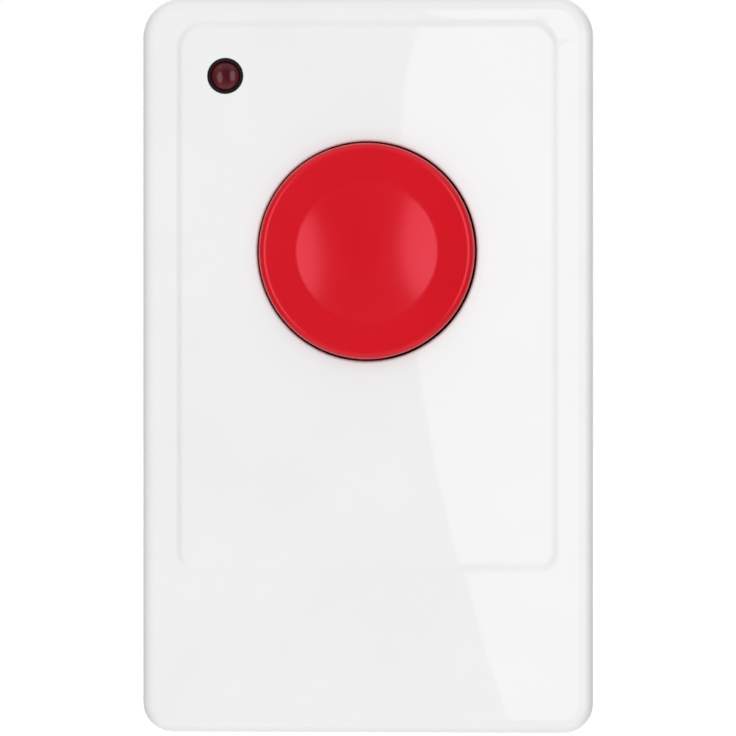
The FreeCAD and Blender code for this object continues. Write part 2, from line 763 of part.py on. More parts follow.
CONTACT_HALF = "sizes.contact_width / 2"
CONTACT_REAR = f"({CELL_DEPTH} - {CONTACT_HALF})"
blade_inner = f"({TUB_HALF_LENGTH} - sizes.contact_sheet - sizes.contact_clearance)"
blade_outer = f"({TUB_HALF_LENGTH} + sizes.contact_clearance)"
sketch = new_sketch(rear_cover, "contact_slots", TUB_FRONT)
for left, right in ((f"-{blade_outer}", f"-{blade_inner}"), (blade_inner, blade_outer)):
    draw_rectangle(
        sketch, left, right,
        f"{CELL_UP} - {CONTACT_HALF} - sizes.contact_clearance",
        f"{CELL_UP} + {TUB_HALF_HEIGHT} + sizes.tub_wall",
    )
cut(
    rear_cover, sketch, f"{TUB_FRONT} - {CONTACT_REAR} + sizes.contact_clearance",
    rearwards=True,
)


# Button cap: one red moulding with a shallow dish, a stem, four lugs that the
# front cover holds back, two of them with keys that stop it turning, and six
# ribs under its face whose ends centre the spring.
button_cap = new_body("button_cap", up=BUTTON_UP)
pieces.append(button_cap)
SKIRT_INNER = "(sizes.button_radius - sizes.skirt_wall)"
SPRING_OUTER = "(sizes.spring_radius + sizes.spring_wire / 2 + sizes.spring_clearance)"
skirt_rear = f"({INNER_FACE} - sizes.lug_thickness)"
stem_face = f"({SWITCH_TOP} + sizes.stem_gap)"
DISH_STEPS = 2
dish = []
for step in range(DISH_STEPS):
    part_way = 1 - step / DISH_STEPS
    fall = 1 - part_way ** 2
    dish.append((f"sizes.dish_radius * {part_way}", f"{CAP_TOP} - sizes.dish_depth * {fall}"))
sketch = new_sketch(button_cap, "cap_section", role="XZ_Plane")
draw_profile(sketch, [
    ("0", CORE_FACE),
    (SKIRT_INNER, CORE_FACE),
    (SKIRT_INNER, skirt_rear),
    ("sizes.button_radius", skirt_rear),
    *quarter_round(
        "sizes.cap_edge_radius", "sizes.button_radius - sizes.cap_edge_radius",
        f"{CAP_TOP} - sizes.cap_edge_radius",
    ),
    *dish,
    ("0", f"{CAP_TOP} - sizes.dish_depth"),
])
revolve(button_cap, sketch)
sketch = new_sketch(button_cap, "cap_stem", stem_face)
draw_square(sketch, "0", "0", "sizes.stem_width")
pad(button_cap, sketch, f"{CORE_FACE} - {stem_face}")
wall_middle = f"({SKIRT_INNER} + sizes.skirt_wall / 2)"
lug_half = "sizes.lug_width / 2"
key_half = "sizes.key_width / 2"
sketch = new_sketch(button_cap, "cap_lugs", skirt_rear)
for side in ("", "-"):
    draw_rectangle(
        sketch, f"-{lug_half}", lug_half, f"{side}{wall_middle}", f"{side}{LUG_REACH}",
    )
    draw_profile(sketch, [
        (f"{side}{wall_middle}", f"-{lug_half}"),
        (f"{side}{LUG_REACH}", f"-{lug_half}"),
        (f"{side}{LUG_REACH}", f"-{key_half}"),
        (f"{side}{GUIDE_OUTER}", f"-{key_half}"),
        (f"{side}{GUIDE_OUTER}", key_half),
        (f"{side}{LUG_REACH}", key_half),
        (f"{side}{LUG_REACH}", lug_half),
        (f"{side}{wall_middle}", lug_half),
    ])
pad(button_cap, sketch, "sizes.lug_thickness")
sketch = new_sketch(button_cap, "cap_rib", CORE_FACE)
draw_rectangle(
    sketch, SPRING_OUTER, wall_middle,
    "-sizes.cap_rib_width / 2", "sizes.cap_rib_width / 2",
)
rib = pad(button_cap, sketch, "sizes.cap_rib_reach", rearwards=True)
ribs = button_cap.newObject("PartDesign::PolarPattern", "cap_ribs")
ribs.Originals = [rib]
ribs.Axis = (origin_feature(button_cap, "Z_Axis"), [""])
ribs.Angle = FULL_TURN
ribs.Occurrences = 6
button_cap.Tip = ribs
doc.recompute()


# Return spring: a short steel coil round the switch, from the board to the cap.
button_spring = new_body("button_spring", up=BUTTON_UP, depth=BOARD_FRONT)
pieces.append(button_spring)
sketch = new_sketch(button_spring, "spring_wire_section", role="XZ_Plane")
draw_square(
    sketch, "sizes.spring_radius", "(sizes.spring_end_gap + sizes.spring_wire / 2)",
    "sizes.spring_wire",
)
coil = button_spring.newObject("PartDesign::AdditiveHelix", "spring_coil")
coil.Profile = sketch
coil.ReferenceAxis = (sketch, ["V_Axis"])
coil.Mode = "height-turns-growth"
bind(
    coil,
    Height=f"{CORE_FACE} - {BOARD_FRONT} - sizes.spring_wire - 2 * sizes.spring_end_gap",
    Turns="sizes.spring_turns",
)
button_spring.Tip = coil
doc.recompute()


# Push switch: a moulded base with a well, a folded steel cover, a plunger
# trapped under the cover, and four pins soldered to the board.
SWITCH_HALF = "sizes.switch_width / 2"
switch_base = new_body("switch_base", up=BUTTON_UP)
pieces.append(switch_base)
sketch = new_sketch(switch_base, "base_block", BOARD_FRONT)
draw_rectangle(sketch, f"-{SWITCH_HALF}", SWITCH_HALF, f"-{SWITCH_HALF}", SWITCH_HALF)
pad(switch_base, sketch, "sizes.switch_base_height")
sketch = new_sketch(switch_base, "base_well", SWITCH_SHELF)
draw_circle(sketch, "0", "0", "sizes.switch_well_radius")
cut(switch_base, sketch, "sizes.switch_well_depth", rearwards=True)

switch_cover = new_body("switch_cover", up=BUTTON_UP)
pieces.append(switch_cover)
sketch = new_sketch(switch_cover, "cover_plate", SWITCH_SHELF)
fold_half = f"({SWITCH_HALF} + sizes.switch_cover_sheet)"
draw_rectangle(sketch, f"-{SWITCH_HALF}", SWITCH_HALF, f"-{fold_half}", fold_half)
pad(switch_cover, sketch, "sizes.switch_cover_sheet")
sketch = new_sketch(switch_cover, "cover_folds", SWITCH_SHELF)
for near, far in ((f"-{fold_half}", f"-{SWITCH_HALF}"), (SWITCH_HALF, fold_half)):
    draw_rectangle(sketch, "-sizes.plunger_radius", "sizes.plunger_radius", near, far)
pad(switch_cover, sketch, "sizes.switch_cover_drop", rearwards=True)
sketch = new_sketch(switch_cover, "cover_holes", SWITCH_SHELF)
draw_circle(sketch, "0", "0", "sizes.plunger_radius + sizes.plunger_clearance")
cut(switch_cover, sketch)

switch_plunger = new_body("switch_plunger", up=BUTTON_UP)
pieces.append(switch_plunger)
sketch = new_sketch(switch_plunger, "plunger_section", role="XZ_Plane")
flange_foot = f"({SWITCH_SHELF} - sizes.plunger_flange)"
draw_profile(sketch, [
    ("0", flange_foot),
    ("sizes.plunger_flange_radius", flange_foot),
    ("sizes.plunger_flange_radius", SWITCH_SHELF),
    ("sizes.plunger_radius", SWITCH_SHELF),
    ("sizes.plunger_radius", SWITCH_TOP),
    ("0", SWITCH_TOP),
])
revolve(switch_plunger, sketch)

terminals = []
for number, (side, end) in enumerate([(1, 1), (1, -1), (-1, 1), (-1, -1)]):
    near_side = SWITCH_HALF if side > 0 else f"-{SWITCH_HALF} - sizes.terminal_sheet"
    middle = f"({end} * sizes.terminal_offset)"
    terminals.append(new_box(
        f"terminal_{number}",
        (near_side, f"{middle} - sizes.terminal_width / 2", f"{BOARD_REAR} - sizes.terminal_tail"),
        (
            "sizes.terminal_sheet", "sizes.terminal_width",
            "sizes.board_thickness + sizes.terminal_tail + sizes.terminal_rise",
        ),
    ))
pieces.append(gather("switch_terminals", "Part::Compound", terminals, up=BUTTON_UP))


# Status lamp: a dark red moulded diode, its two tinned leads, and the black
# sleeve that fills the hole in the panel round it.
led_lens = new_body("led_lens", x=LAMP_X, up=LAMP_UP)
pieces.append(led_lens)
sketch = new_sketch(led_lens, "lens_section", role="XZ_Plane")
draw_profile(sketch, [
    ("0", LAMP_REAR),
    ("sizes.lamp_flange_radius", LAMP_REAR),
    ("sizes.lamp_flange_radius", LAMP_SHOULDER),
    ("sizes.lamp_radius", LAMP_SHOULDER),
    ("sizes.lamp_radius", f"{LAMP_APEX} - sizes.lamp_dome"),
    ("sizes.lamp_radius / 2", f"{LAMP_APEX} - sizes.lamp_dome / 4"),
    ("0", LAMP_APEX),
])
revolve(led_lens, sketch)

leads = []
for number, side in enumerate((1, -1)):
    leads.append(new_box(
        f"lead_{number}",
        (
            f"{side} * sizes.lamp_lead_pitch / 2 - sizes.lamp_lead / 2",
            "-sizes.lamp_lead / 2",
            f"{BOARD_REAR} - sizes.lead_tail",
        ),
        (
            "sizes.lamp_lead", "sizes.lamp_lead",
            f"{LAMP_REAR} - {BOARD_REAR} + sizes.lead_tail",
        ),
    ))
pieces.append(gather("led_leads", "Part::Compound", leads, x=LAMP_X, up=LAMP_UP))

led_holder = new_body("led_holder", x=LAMP_X, up=LAMP_UP)
pieces.append(led_holder)
bore = "(sizes.lamp_radius + sizes.sleeve_clearance)"
sleeve_top = f"({PANEL_FACE} - sizes.sleeve_recess)"
sleeve_reach = f"({SLEEVE_RADIUS} + sizes.sleeve_flange_reach)"
sketch = new_sketch(led_holder, "sleeve_section", role="XZ_Plane")
draw_profile(sketch, [
    (bore, LAMP_SHOULDER),
    (sleeve_reach, LAMP_SHOULDER),
    (sleeve_reach, INNER_FACE),
    (SLEEVE_RADIUS, INNER_FACE),
    (SLEEVE_RADIUS, sleeve_top),
    (bore, sleeve_top),
])
revolve(led_holder, sketch)


# Circuit board: one cut sheet with rounded corners where it clears the bosses,
# holes for the pegs of the front cover, and slots for leads and contacts.
circuit_board = new_body("circuit_board")
pieces.append(circuit_board)
sketch = new_sketch(circuit_board, "board_outline", BOARD_REAR)
draw_rectangle(sketch, f"-{BOARD_HALF_WIDTH}", BOARD_HALF_WIDTH, BOARD_BOTTOM, BOARD_TOP)
pad(circuit_board, sketch, "sizes.board_thickness")
sketch = new_sketch(circuit_board, "boss_notches", BOARD_REAR)
for x, up in BOSS_PLACES:
    draw_circle(sketch, x, up, "sizes.boss_radius + sizes.board_notch_gap")
cut(circuit_board, sketch)
sketch = new_sketch(circuit_board, "board_slots", BOARD_REAR)
slots = []
for x, up in PEG_PLACES:
    half = "(sizes.peg_width / 2 + sizes.peg_clearance)"
    slots.append((x, up, half, half))
for x in ("sizes.aerial_start", "(sizes.aerial_start + sizes.aerial_length)"):
    half = "(sizes.aerial_wire / 2 + sizes.lead_clearance)"
    slots.append((x, AERIAL_UP, half, half))
for side in ("+", "-"):
    half = "(sizes.lamp_lead / 2 + sizes.lead_clearance)"
    slots.append((f"({LAMP_X} {side} sizes.lamp_lead_pitch / 2)", LAMP_UP, half, half))
    for end in ("+", "-"):
        slots.append((
            f"(0 {side} ({SWITCH_HALF} + sizes.terminal_sheet / 2))",
            f"({BUTTON_UP} {end} sizes.terminal_offset)",
            "(sizes.terminal_sheet / 2 + sizes.lead_clearance)",
            "(sizes.terminal_width / 2 + sizes.lead_clearance)",
        ))
    slots.append((
        f"(0 {side} ({TUB_HALF_LENGTH} - sizes.contact_sheet / 2))", FINGER_UP,
        "(sizes.contact_sheet / 2 + sizes.contact_clearance)",
        "(sizes.contact_finger / 2 + sizes.contact_clearance)",
    ))
for x, up, half_wide, half_tall in slots:
    draw_rectangle(
        sketch, f"{x} - {half_wide}", f"{x} + {half_wide}",
        f"{up} - {half_tall}", f"{up} + {half_tall}",
    )
cut(circuit_board, sketch)


# Loop aerial: one stiff tinned wire, bent to a staple and soldered at both feet.
loop_aerial = new_body("loop_aerial", x="sizes.aerial_start", up=AERIAL_UP)
pieces.append(loop_aerial)
wire_half = "sizes.aerial_wire / 2"
sketch = new_sketch(loop_aerial, "aerial_outline", f"-{wire_half}", role="XZ_Plane")
aerial_rear = f"({BOARD_REAR} - sizes.lead_tail)"
aerial_front = f"({BOARD_FRONT} + sizes.aerial_rise)"
far_leg = "sizes.aerial_length"
draw_profile(sketch, [
    (f"-{wire_half}", aerial_rear),
    (wire_half, aerial_rear),
    (wire_half, aerial_front),
    (f"{far_leg} - {wire_half}", aerial_front),
    (f"{far_leg} - {wire_half}", aerial_rear),
    (f"{far_leg} + {wire_half}", aerial_rear),
    (f"{far_leg} + {wire_half}", f"{aerial_front} + sizes.aerial_wire"),
    (f"-{wire_half}", f"{aerial_front} + sizes.aerial_wire"),
])
pad(loop_aerial, sketch, "sizes.aerial_wire")


# Parts soldered to the board: the coding chip and its two rows of leads, the
# resonator, the transistor, the small resistors and capacitors, and one can.
encoder_chip = new_body("encoder_chip", x="sizes.chip_offset", up=ROW_UP)
pieces.append(encoder_chip)
chip_half = "sizes.chip_length / 2"
chip_side = "sizes.chip_width / 2"
sketch = new_sketch(encoder_chip, "chip_block", f"{BOARD_FRONT} + sizes.chip_standoff")
draw_rectangle(sketch, f"-{chip_half}", chip_half, f"-{chip_side}", chip_side)
pad(encoder_chip, sketch, "sizes.chip_height")

encoder_leads = new_body("encoder_leads", x="sizes.chip_offset", up=ROW_UP, depth=BOARD_FRONT)
pieces.append(encoder_leads)
sketch = new_sketch(encoder_leads, "lead_section", role="YZ_Plane")
lead_top = "(sizes.chip_standoff + sizes.chip_height / 2)"
lead_turn = f"({chip_side} + sizes.chip_lead_reach - sizes.chip_lead_foot)"
lead_end = f"({chip_side} + sizes.chip_lead_reach)"
draw_profile(sketch, [
    (chip_side, lead_top),
    (chip_side, f"{lead_top} - sizes.chip_lead_sheet"),
    (f"{lead_turn} - sizes.chip_lead_sheet", f"{lead_top} - sizes.chip_lead_sheet"),
    (f"{lead_turn} - sizes.chip_lead_sheet", "0"),
    (lead_end, "0"),
    (lead_end, "sizes.chip_lead_sheet"),
    (lead_turn, "sizes.chip_lead_sheet"),
    (lead_turn, lead_top),
])
LEAD_COUNT = 7
lead_row = f"({LEAD_COUNT - 1} * sizes.chip_pitch)"
sketch.setExpression(
    "AttachmentOffset.Base.z", f"-{lead_row} / 2 - sizes.chip_lead_width / 2",
)
lead = pad(encoder_leads, sketch, "sizes.chip_lead_width")
rows = encoder_leads.newObject("PartDesign::MultiTransform", "lead_rows")
along = encoder_leads.newObject("PartDesign::LinearPattern", "lead_pitch")
across = encoder_leads.newObject("PartDesign::Mirrored", "lead_sides")
along.Direction = (origin_feature(encoder_leads, "X_Axis"), [""])
bind(along, Length=lead_row)
along.Occurrences = LEAD_COUNT
across.MirrorPlane = (origin_feature(encoder_leads, "XZ_Plane"), [""])
rows.Originals = [lead]
rows.Transformations = [along, across]
encoder_leads.Tip = rows
doc.recompute()

saw_resonator = new_body("saw_resonator", x="sizes.resonator_offset", up=ROW_UP)
pieces.append(saw_resonator)
for name, margin, depth, height in (
    ("resonator_base", "0", BOARD_FRONT, "sizes.resonator_height / 2"),
    (
        "resonator_lid", "sizes.resonator_rim",
        f"{BOARD_FRONT} + sizes.resonator_height / 2", "sizes.resonator_height / 2",
    ),
):
    half = f"(sizes.resonator_width / 2 - {margin})"
    sketch = new_sketch(saw_resonator, name, depth)
    draw_rectangle(sketch, f"-{half}", half, f"-{half}", half)
    pad(saw_resonator, sketch, height)

transistor_half = "(sizes.transistor_length / 2)"
transistor_parts = [new_box(
    "transistor_block",
    (f"-{transistor_half}", "-sizes.transistor_width / 2", BOARD_FRONT),
    ("sizes.transistor_length", "sizes.transistor_width", "sizes.transistor_height"),
)]
LEG_PLACES = [("-1", "-1"), ("1", "-1"), ("0", "1")]
for number, (across_pitch, side) in enumerate(LEG_PLACES):
    leg_x = f"{across_pitch} * (sizes.transistor_length / 2 - sizes.transistor_lead)"
    leg_y = f"{side} * (sizes.transistor_width + sizes.transistor_lead_reach) / 2"
    transistor_parts.append(new_box(
        f"transistor_leg_{number}",
        (
            f"{leg_x} - sizes.transistor_lead / 2",
            f"{leg_y} - sizes.transistor_lead_reach / 2",
            BOARD_FRONT,
        ),
        (
            "sizes.transistor_lead", "sizes.transistor_lead_reach",
            "sizes.transistor_height / 4",
        ),
    ))
pieces.append(gather(
    "rf_transistor", "Part::MultiFuse", transistor_parts,
    x="sizes.transistor_offset", up=ROW_UP,
))

for label, count, height, row_up in (
    (
        "chip_capacitors", 5, "sizes.small_capacitor_height",
        f"{ROW_UP} - sizes.small_part_rise",
    ),
    (
        "chip_resistors", 6, "sizes.small_resistor_height",
        f"{ROW_UP} - 2 * sizes.small_part_rise + sizes.small_part_width",
    ),
):
    small_parts = []
    for number in range(count):
        steps = number - (count - 1) / 2
        small_parts.append(new_box(
            f"{label}_{number}",
            (
                f"{steps} * sizes.small_part_pitch - sizes.small_part_length / 2",
                "-sizes.small_part_width / 2",
                BOARD_FRONT,
            ),
            ("sizes.small_part_length", "sizes.small_part_width", height),
        ))
    pieces.append(gather(label, "Part::Compound", small_parts, up=row_up))

electrolytic_capacitor = new_body(
    "electrolytic_capacitor", x="sizes.can_offset", up=f"{BUTTON_UP} - sizes.can_drop",
)
pieces.append(electrolytic_capacitor)
sketch = new_sketch(electrolytic_capacitor, "can_section", BOARD_REAR)
draw_circle(sketch, "0", "0", "sizes.can_radius")
pad(electrolytic_capacitor, sketch, "sizes.can_height", rearwards=True)
sketch = new_sketch(electrolytic_capacitor, "can_plinth", BOARD_REAR)
plinth = "(sizes.can_radius + sizes.can_base_margin)"
draw_rectangle(sketch, f"-{plinth}", plinth, f"-{plinth}", plinth)
pad(electrolytic_capacitor, sketch, "sizes.can_base", rearwards=True)


# Cell: a sealed 12 V remote-control battery, lying across the foot of the case.
CELL_START = f"(sizes.leaf_bulge + sizes.contact_sheet - {TUB_HALF_LENGTH})"
battery = new_body("battery", x=CELL_START, up=CELL_UP, depth=CELL_DEPTH, turn=ALONG_X)
pieces.append(battery)
can_length = "(sizes.cell_length - sizes.cell_nub)"
sketch = new_sketch(battery, "cell_section", role="XZ_Plane")
draw_profile(sketch, [
    ("0", "0"),
    ("sizes.cell_radius", "0"),
    ("sizes.cell_radius", can_length),
    ("sizes.cell_nub_radius", can_length),
    ("sizes.cell_nub_radius", "sizes.cell_length"),
    ("0", "sizes.cell_length"),
])
revolve(battery, sketch)


# Cell contacts: two plated blades in the ends of the tub, whose fingers pass
# through the board. A bent leaf on the negative one pushes the cell along.
BLADE_TAIL_REAR = f"({BOARD_REAR} - sizes.contact_clearance)"
blade_corners = [
    (f"{CELL_UP} - {CONTACT_HALF}", CONTACT_REAR),
    (f"{CELL_UP} + {CONTACT_HALF}", CONTACT_REAR),
    (f"{CELL_UP} + {CONTACT_HALF}", f"{BLADE_TAIL_REAR} - sizes.contact_tail"),
    (f"{FINGER_UP} + sizes.contact_finger / 2", f"{BLADE_TAIL_REAR} - sizes.contact_tail"),
    (f"{FINGER_UP} + sizes.contact_finger / 2", f"{BOARD_FRONT} + sizes.finger_proud"),
    (f"{FINGER_UP} - sizes.contact_finger / 2", f"{BOARD_FRONT} + sizes.finger_proud"),
    (f"{FINGER_UP} - sizes.contact_finger / 2", BLADE_TAIL_REAR),
    (f"{CELL_UP} + {CONTACT_HALF}", BLADE_TAIL_REAR),
    (f"{CELL_UP} + {CONTACT_HALF}", f"{CELL_DEPTH} + {CONTACT_HALF}"),
    (f"{CELL_UP} - {CONTACT_HALF}", f"{CELL_DEPTH} + {CONTACT_HALF}"),
]
blades = []
for label, start in (
    ("negative_contact", f"-{TUB_HALF_LENGTH}"),
    ("positive_contact", f"{TUB_HALF_LENGTH} - sizes.contact_sheet"),
):
    blade = new_body(label)
    pieces.append(blade)
    blades.append(blade)
    sketch = new_sketch(blade, f"{label}_outline", start, role="YZ_Plane")
    draw_profile(sketch, blade_corners)
    pad(blade, sketch, "sizes.contact_sheet")

leaf_root = f"(sizes.contact_sheet - {TUB_HALF_LENGTH})"
leaf_crown = f"({leaf_root} + sizes.leaf_bulge - sizes.spring_end_gap)"
leaf_foot = f"{CELL_UP} - sizes.leaf_span / 2"
leaf_head = f"{CELL_UP} + sizes.leaf_span / 2"
crown_foot = f"{CELL_UP} - sizes.leaf_tip / 2"
crown_head = f"{CELL_UP} + sizes.leaf_tip / 2"
sketch = new_sketch(blades[0], "leaf_outline", f"{CELL_DEPTH} - sizes.leaf_width / 2")
draw_profile(sketch, [
    (leaf_root, leaf_foot),
    (leaf_crown, crown_foot),
    (leaf_crown, crown_head),
    (f"{leaf_root} + sizes.leaf_lift", leaf_head),
    (f"{leaf_root} + sizes.leaf_lift - sizes.contact_sheet", leaf_head),
    (f"{leaf_crown} - sizes.contact_sheet", crown_head),
    (f"{leaf_crown} - sizes.contact_sheet", crown_foot),
    (f"{leaf_root} - sizes.contact_sheet", leaf_foot),
])
pad(blades[0], sketch, "sizes.leaf_width")


# Battery door: a flat moulding that slides off the foot of the case, held by a
# tongue along each side and a tab at its top, with a ribbed patch for the thumb.
battery_door = new_body("battery_door")
pieces.append(battery_door)
door_bottom = f"-{HALF_HEIGHT}"
sketch = new_sketch(battery_door, "door_plate")
draw_rectangle(sketch, f"-{DOOR_HALF_WIDTH}", DOOR_HALF_WIDTH, door_bottom, DOOR_TOP)
pad(battery_door, sketch, "sizes.door_thickness")
door_foot = value(door_bottom)
dress_edges(
    battery_door, "door_foot_edge",
    lambda edge: edge_at_depth(edge, 0.0) and abs(edge.BoundBox.YMax - door_foot) < NEAR,
    bevel="sizes.rear_edge_bevel",
)
tongue_half = f"({DOOR_HALF_WIDTH} + sizes.tongue_reach)"
for name, half, bottom, top in (
    ("door_tongues", tongue_half, door_bottom, DOOR_TOP),
    ("door_tab", "sizes.tab_width / 2", CELL_UP, f"{DOOR_TOP} + sizes.tab_reach"),
):
    sketch = new_sketch(battery_door, name, TONGUE_REAR)
    draw_rectangle(sketch, f"-{half}", half, bottom, top)
    pad(battery_door, sketch, "sizes.tongue_thickness")
sketch = new_sketch(battery_door, "grip_groove_outline")
groove_up = f"(-{HALF_HEIGHT} + sizes.grip_to_bottom)"
draw_rectangle(
    sketch, "-sizes.grip_width / 2", "sizes.grip_width / 2",
    groove_up, f"{groove_up} + sizes.grip_groove",
)
groove = cut(battery_door, sketch, "sizes.grip_depth")
GROOVE_COUNT = 5
grip = battery_door.newObject("PartDesign::LinearPattern", "grip_grooves")
grip.Originals = [groove]
grip.Direction = (origin_feature(battery_door, "Y_Axis"), [""])
bind(grip, Length=f"{GROOVE_COUNT - 1} * sizes.grip_pitch")
grip.Occurrences = GROOVE_COUNT
battery_door.Tip = grip
doc.recompute()


# Case screws: cheese heads with a cross, driven from the rear into the bosses.
screw_seat = "(sizes.counterbore_depth - sizes.case_screw_head)"
screw_end = "(sizes.case_screw_head + sizes.case_screw_length)"
first_screw = new_body("first_screw", x=BOSS_PLACES[0][0], up=BOSS_PLACES[0][1], depth=screw_seat)
sketch = new_sketch(first_screw, "screw_section", role="XZ_Plane")
draw_profile(sketch, [
    ("0", "0"),
    ("sizes.case_screw_head_radius", "0"),
    ("sizes.case_screw_head_radius", "sizes.case_screw_head"),
    ("sizes.case_screw_radius", "sizes.case_screw_head"),
    ("sizes.case_screw_radius", screw_end),
    ("0", screw_end),
])
revolve(first_screw, sketch)
sketch = new_sketch(first_screw, "screw_cross")
narrow = "sizes.cross_width / 2"
wide = "sizes.cross_span / 2"
draw_profile(sketch, [
    (f"-{wide}", f"-{narrow}"),
    (f"-{narrow}", f"-{narrow}"),
    (f"-{narrow}", f"-{wide}"),
    (narrow, f"-{wide}"),
    (narrow, f"-{narrow}"),
    (wide, f"-{narrow}"),
    (wide, narrow),
    (narrow, narrow),
    (narrow, wide),
    (f"-{narrow}", wide),
    (f"-{narrow}", narrow),
    (f"-{wide}", narrow),
])
cut(first_screw, sketch, "sizes.cross_depth")
second_screw = doc.addObject("App::Link", "second_screw")
second_screw.LinkedObject = first_screw
place(second_screw, x=BOSS_PLACES[1][0], up=BOSS_PLACES[1][1], depth=screw_seat)
case_screws = doc.addObject("Part::Compound", "case_screws")
case_screws.Links = [first_screw, second_screw]
case_screws.Label = "case_screws"
pieces.append(case_screws)


def check_document():
    """Stops on a failed object, a bad shape, or a cut that removed nothing."""
    doc.recompute()
    for item in doc.Objects:
        if "Invalid" in item.State or "Error" in item.State:
            raise RuntimeError(f"{item.Label} failed: {item.State}")
        if item.TypeId == "PartDesign::Pocket":
            before = item.BaseFeature.Shape.Volume
            if item.Shape.Volume >= before:
                raise RuntimeError(f"{item.Label} cuts nothing")
    for piece in pieces:
        if piece.Shape.isNull() or not piece.Shape.isValid():
            raise RuntimeError(f"{piece.Label} has no valid shape")


check_document()
os.makedirs("parts", exist_ok=True)
for piece in pieces:
    piece.Shape.exportStep(f"parts/{piece.Label}.step")
print(f"{len(pieces)} pieces written")
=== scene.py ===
import math

import bmesh
import bpy
from mathutils import Matrix, Vector


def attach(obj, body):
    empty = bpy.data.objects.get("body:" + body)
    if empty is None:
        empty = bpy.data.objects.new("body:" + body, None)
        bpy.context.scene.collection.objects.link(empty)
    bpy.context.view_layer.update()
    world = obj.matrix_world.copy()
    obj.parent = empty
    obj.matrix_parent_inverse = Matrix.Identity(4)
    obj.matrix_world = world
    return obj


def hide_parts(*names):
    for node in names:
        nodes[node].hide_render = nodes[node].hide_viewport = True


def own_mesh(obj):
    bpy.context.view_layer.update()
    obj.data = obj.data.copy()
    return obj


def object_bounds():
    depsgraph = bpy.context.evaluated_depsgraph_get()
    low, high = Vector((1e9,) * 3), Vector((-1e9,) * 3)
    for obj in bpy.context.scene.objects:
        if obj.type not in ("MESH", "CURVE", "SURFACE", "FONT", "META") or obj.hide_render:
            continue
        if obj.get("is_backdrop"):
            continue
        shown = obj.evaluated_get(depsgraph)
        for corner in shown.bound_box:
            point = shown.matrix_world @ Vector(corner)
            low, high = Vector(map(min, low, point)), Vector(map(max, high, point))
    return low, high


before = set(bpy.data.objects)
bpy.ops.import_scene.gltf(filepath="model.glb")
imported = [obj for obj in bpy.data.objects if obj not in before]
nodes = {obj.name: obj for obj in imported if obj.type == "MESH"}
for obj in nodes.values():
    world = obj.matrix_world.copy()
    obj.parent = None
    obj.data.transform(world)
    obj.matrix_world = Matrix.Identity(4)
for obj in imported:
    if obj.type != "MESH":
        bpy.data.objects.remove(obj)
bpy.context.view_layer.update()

MM = 0.001


# Camera: level with the middle of the case and a little to its right, with a
# long lens, so that both sides stay square to the picture as in a catalogue shot.
CASE_DEPTH = 17.6 * MM
CAMERA_DISTANCE = 500 * MM
CAMERA_AZIMUTH = math.radians(2.8)
PICTURE_WIDTH = 79.8 * MM
AIM = Vector((0.1 * MM, -CASE_DEPTH, -0.35 * MM))
camera_data = bpy.data.cameras.new("camera")
camera_data.type = "PERSP"
camera_data.sensor_width = 36.0
camera_data.lens = camera_data.sensor_width * CAMERA_DISTANCE / PICTURE_WIDTH
camera = bpy.data.objects.new("camera", camera_data)
towards_camera = Vector((math.sin(CAMERA_AZIMUTH), -math.cos(CAMERA_AZIMUTH), 0.0))
camera.location = AIM + towards_camera * CAMERA_DISTANCE
camera.rotation_euler = (-towards_camera).to_track_quat("-Z", "Y").to_euler()
bpy.context.scene.collection.objects.link(camera)
bpy.context.scene.camera = camera


# Rear cover: the white ABS moulding that hangs on the wall, with two keyholes,
# sunk screw holes and the bed of the battery door. Its back is left satin by the
# mould, and its edges are very slightly rounded.
SOFT_EDGE = 0.12 * MM
SOFT_EDGE_STEPS = 3
SHARP = math.radians(35)
WELD = 0.0005 * MM
FLAT = math.radians(0.3)
PATCH_BORDERS = (0.35, 0.65)


def settle_shading(mesh):
    """Smooths the faces and marks the edges where they meet at an angle."""
    for face in mesh.faces:
        face.smooth = True
    for edge in mesh.edges:
        edge.smooth = len(edge.link_faces) == 2 and edge.calc_face_angle() < SHARP


def add_piece(name, mesh, body, stands_for, material):
    """Turns a bmesh into a piece that rides on a body and stands for a solid."""
    settle_shading(mesh)
    data = bpy.data.meshes.new(name)
    mesh.to_mesh(data)
    mesh.free()
    data.materials.append(material)
    piece = bpy.data.objects.new(name, data)
    bpy.context.scene.collection.objects.link(piece)
    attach(piece, body)
    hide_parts(stands_for)
    return piece


def even_shading(piece):
    """Keeps the flat faces of a piece flat where they run into roundings."""
    shade = piece.modifiers.new("even_shading", "WEIGHTED_NORMAL")
    shade.keep_sharp = True


def soften(piece, edge):
    """Slightly rounds the edges of a piece."""
    rounding = piece.modifiers.new("soft_edges", "BEVEL")
    rounding.width = edge
    rounding.segments = SOFT_EDGE_STEPS
    rounding.limit_method = "ANGLE"
    rounding.angle_limit = SHARP
    even_shading(piece)


def soften_node(node, name, body, material, edge=SOFT_EDGE):
    """Stands a welded copy of a solid in its place, with slightly rounded edges."""
    mesh = bmesh.new()
    mesh.from_mesh(nodes[node].data)
    bmesh.ops.remove_doubles(mesh, verts=mesh.verts, dist=WELD)
    bmesh.ops.dissolve_limit(
        mesh, angle_limit=FLAT, use_dissolve_boundaries=False, verts=mesh.verts,
        edges=mesh.edges, delimit=set(),
    )
    piece = add_piece(name, mesh, body, node, material)
    soften(piece, edge)
    return piece


def add_node(tree, kind, **settings):
    """A shader node with some of its settings and sockets given."""
    node = tree.nodes.new(kind)
    for name, setting in settings.items():
        if hasattr(node, name):
            setattr(node, name, setting)
        else:
            node.inputs[name.replace("_", " ").title()].default_value = setting
    return node


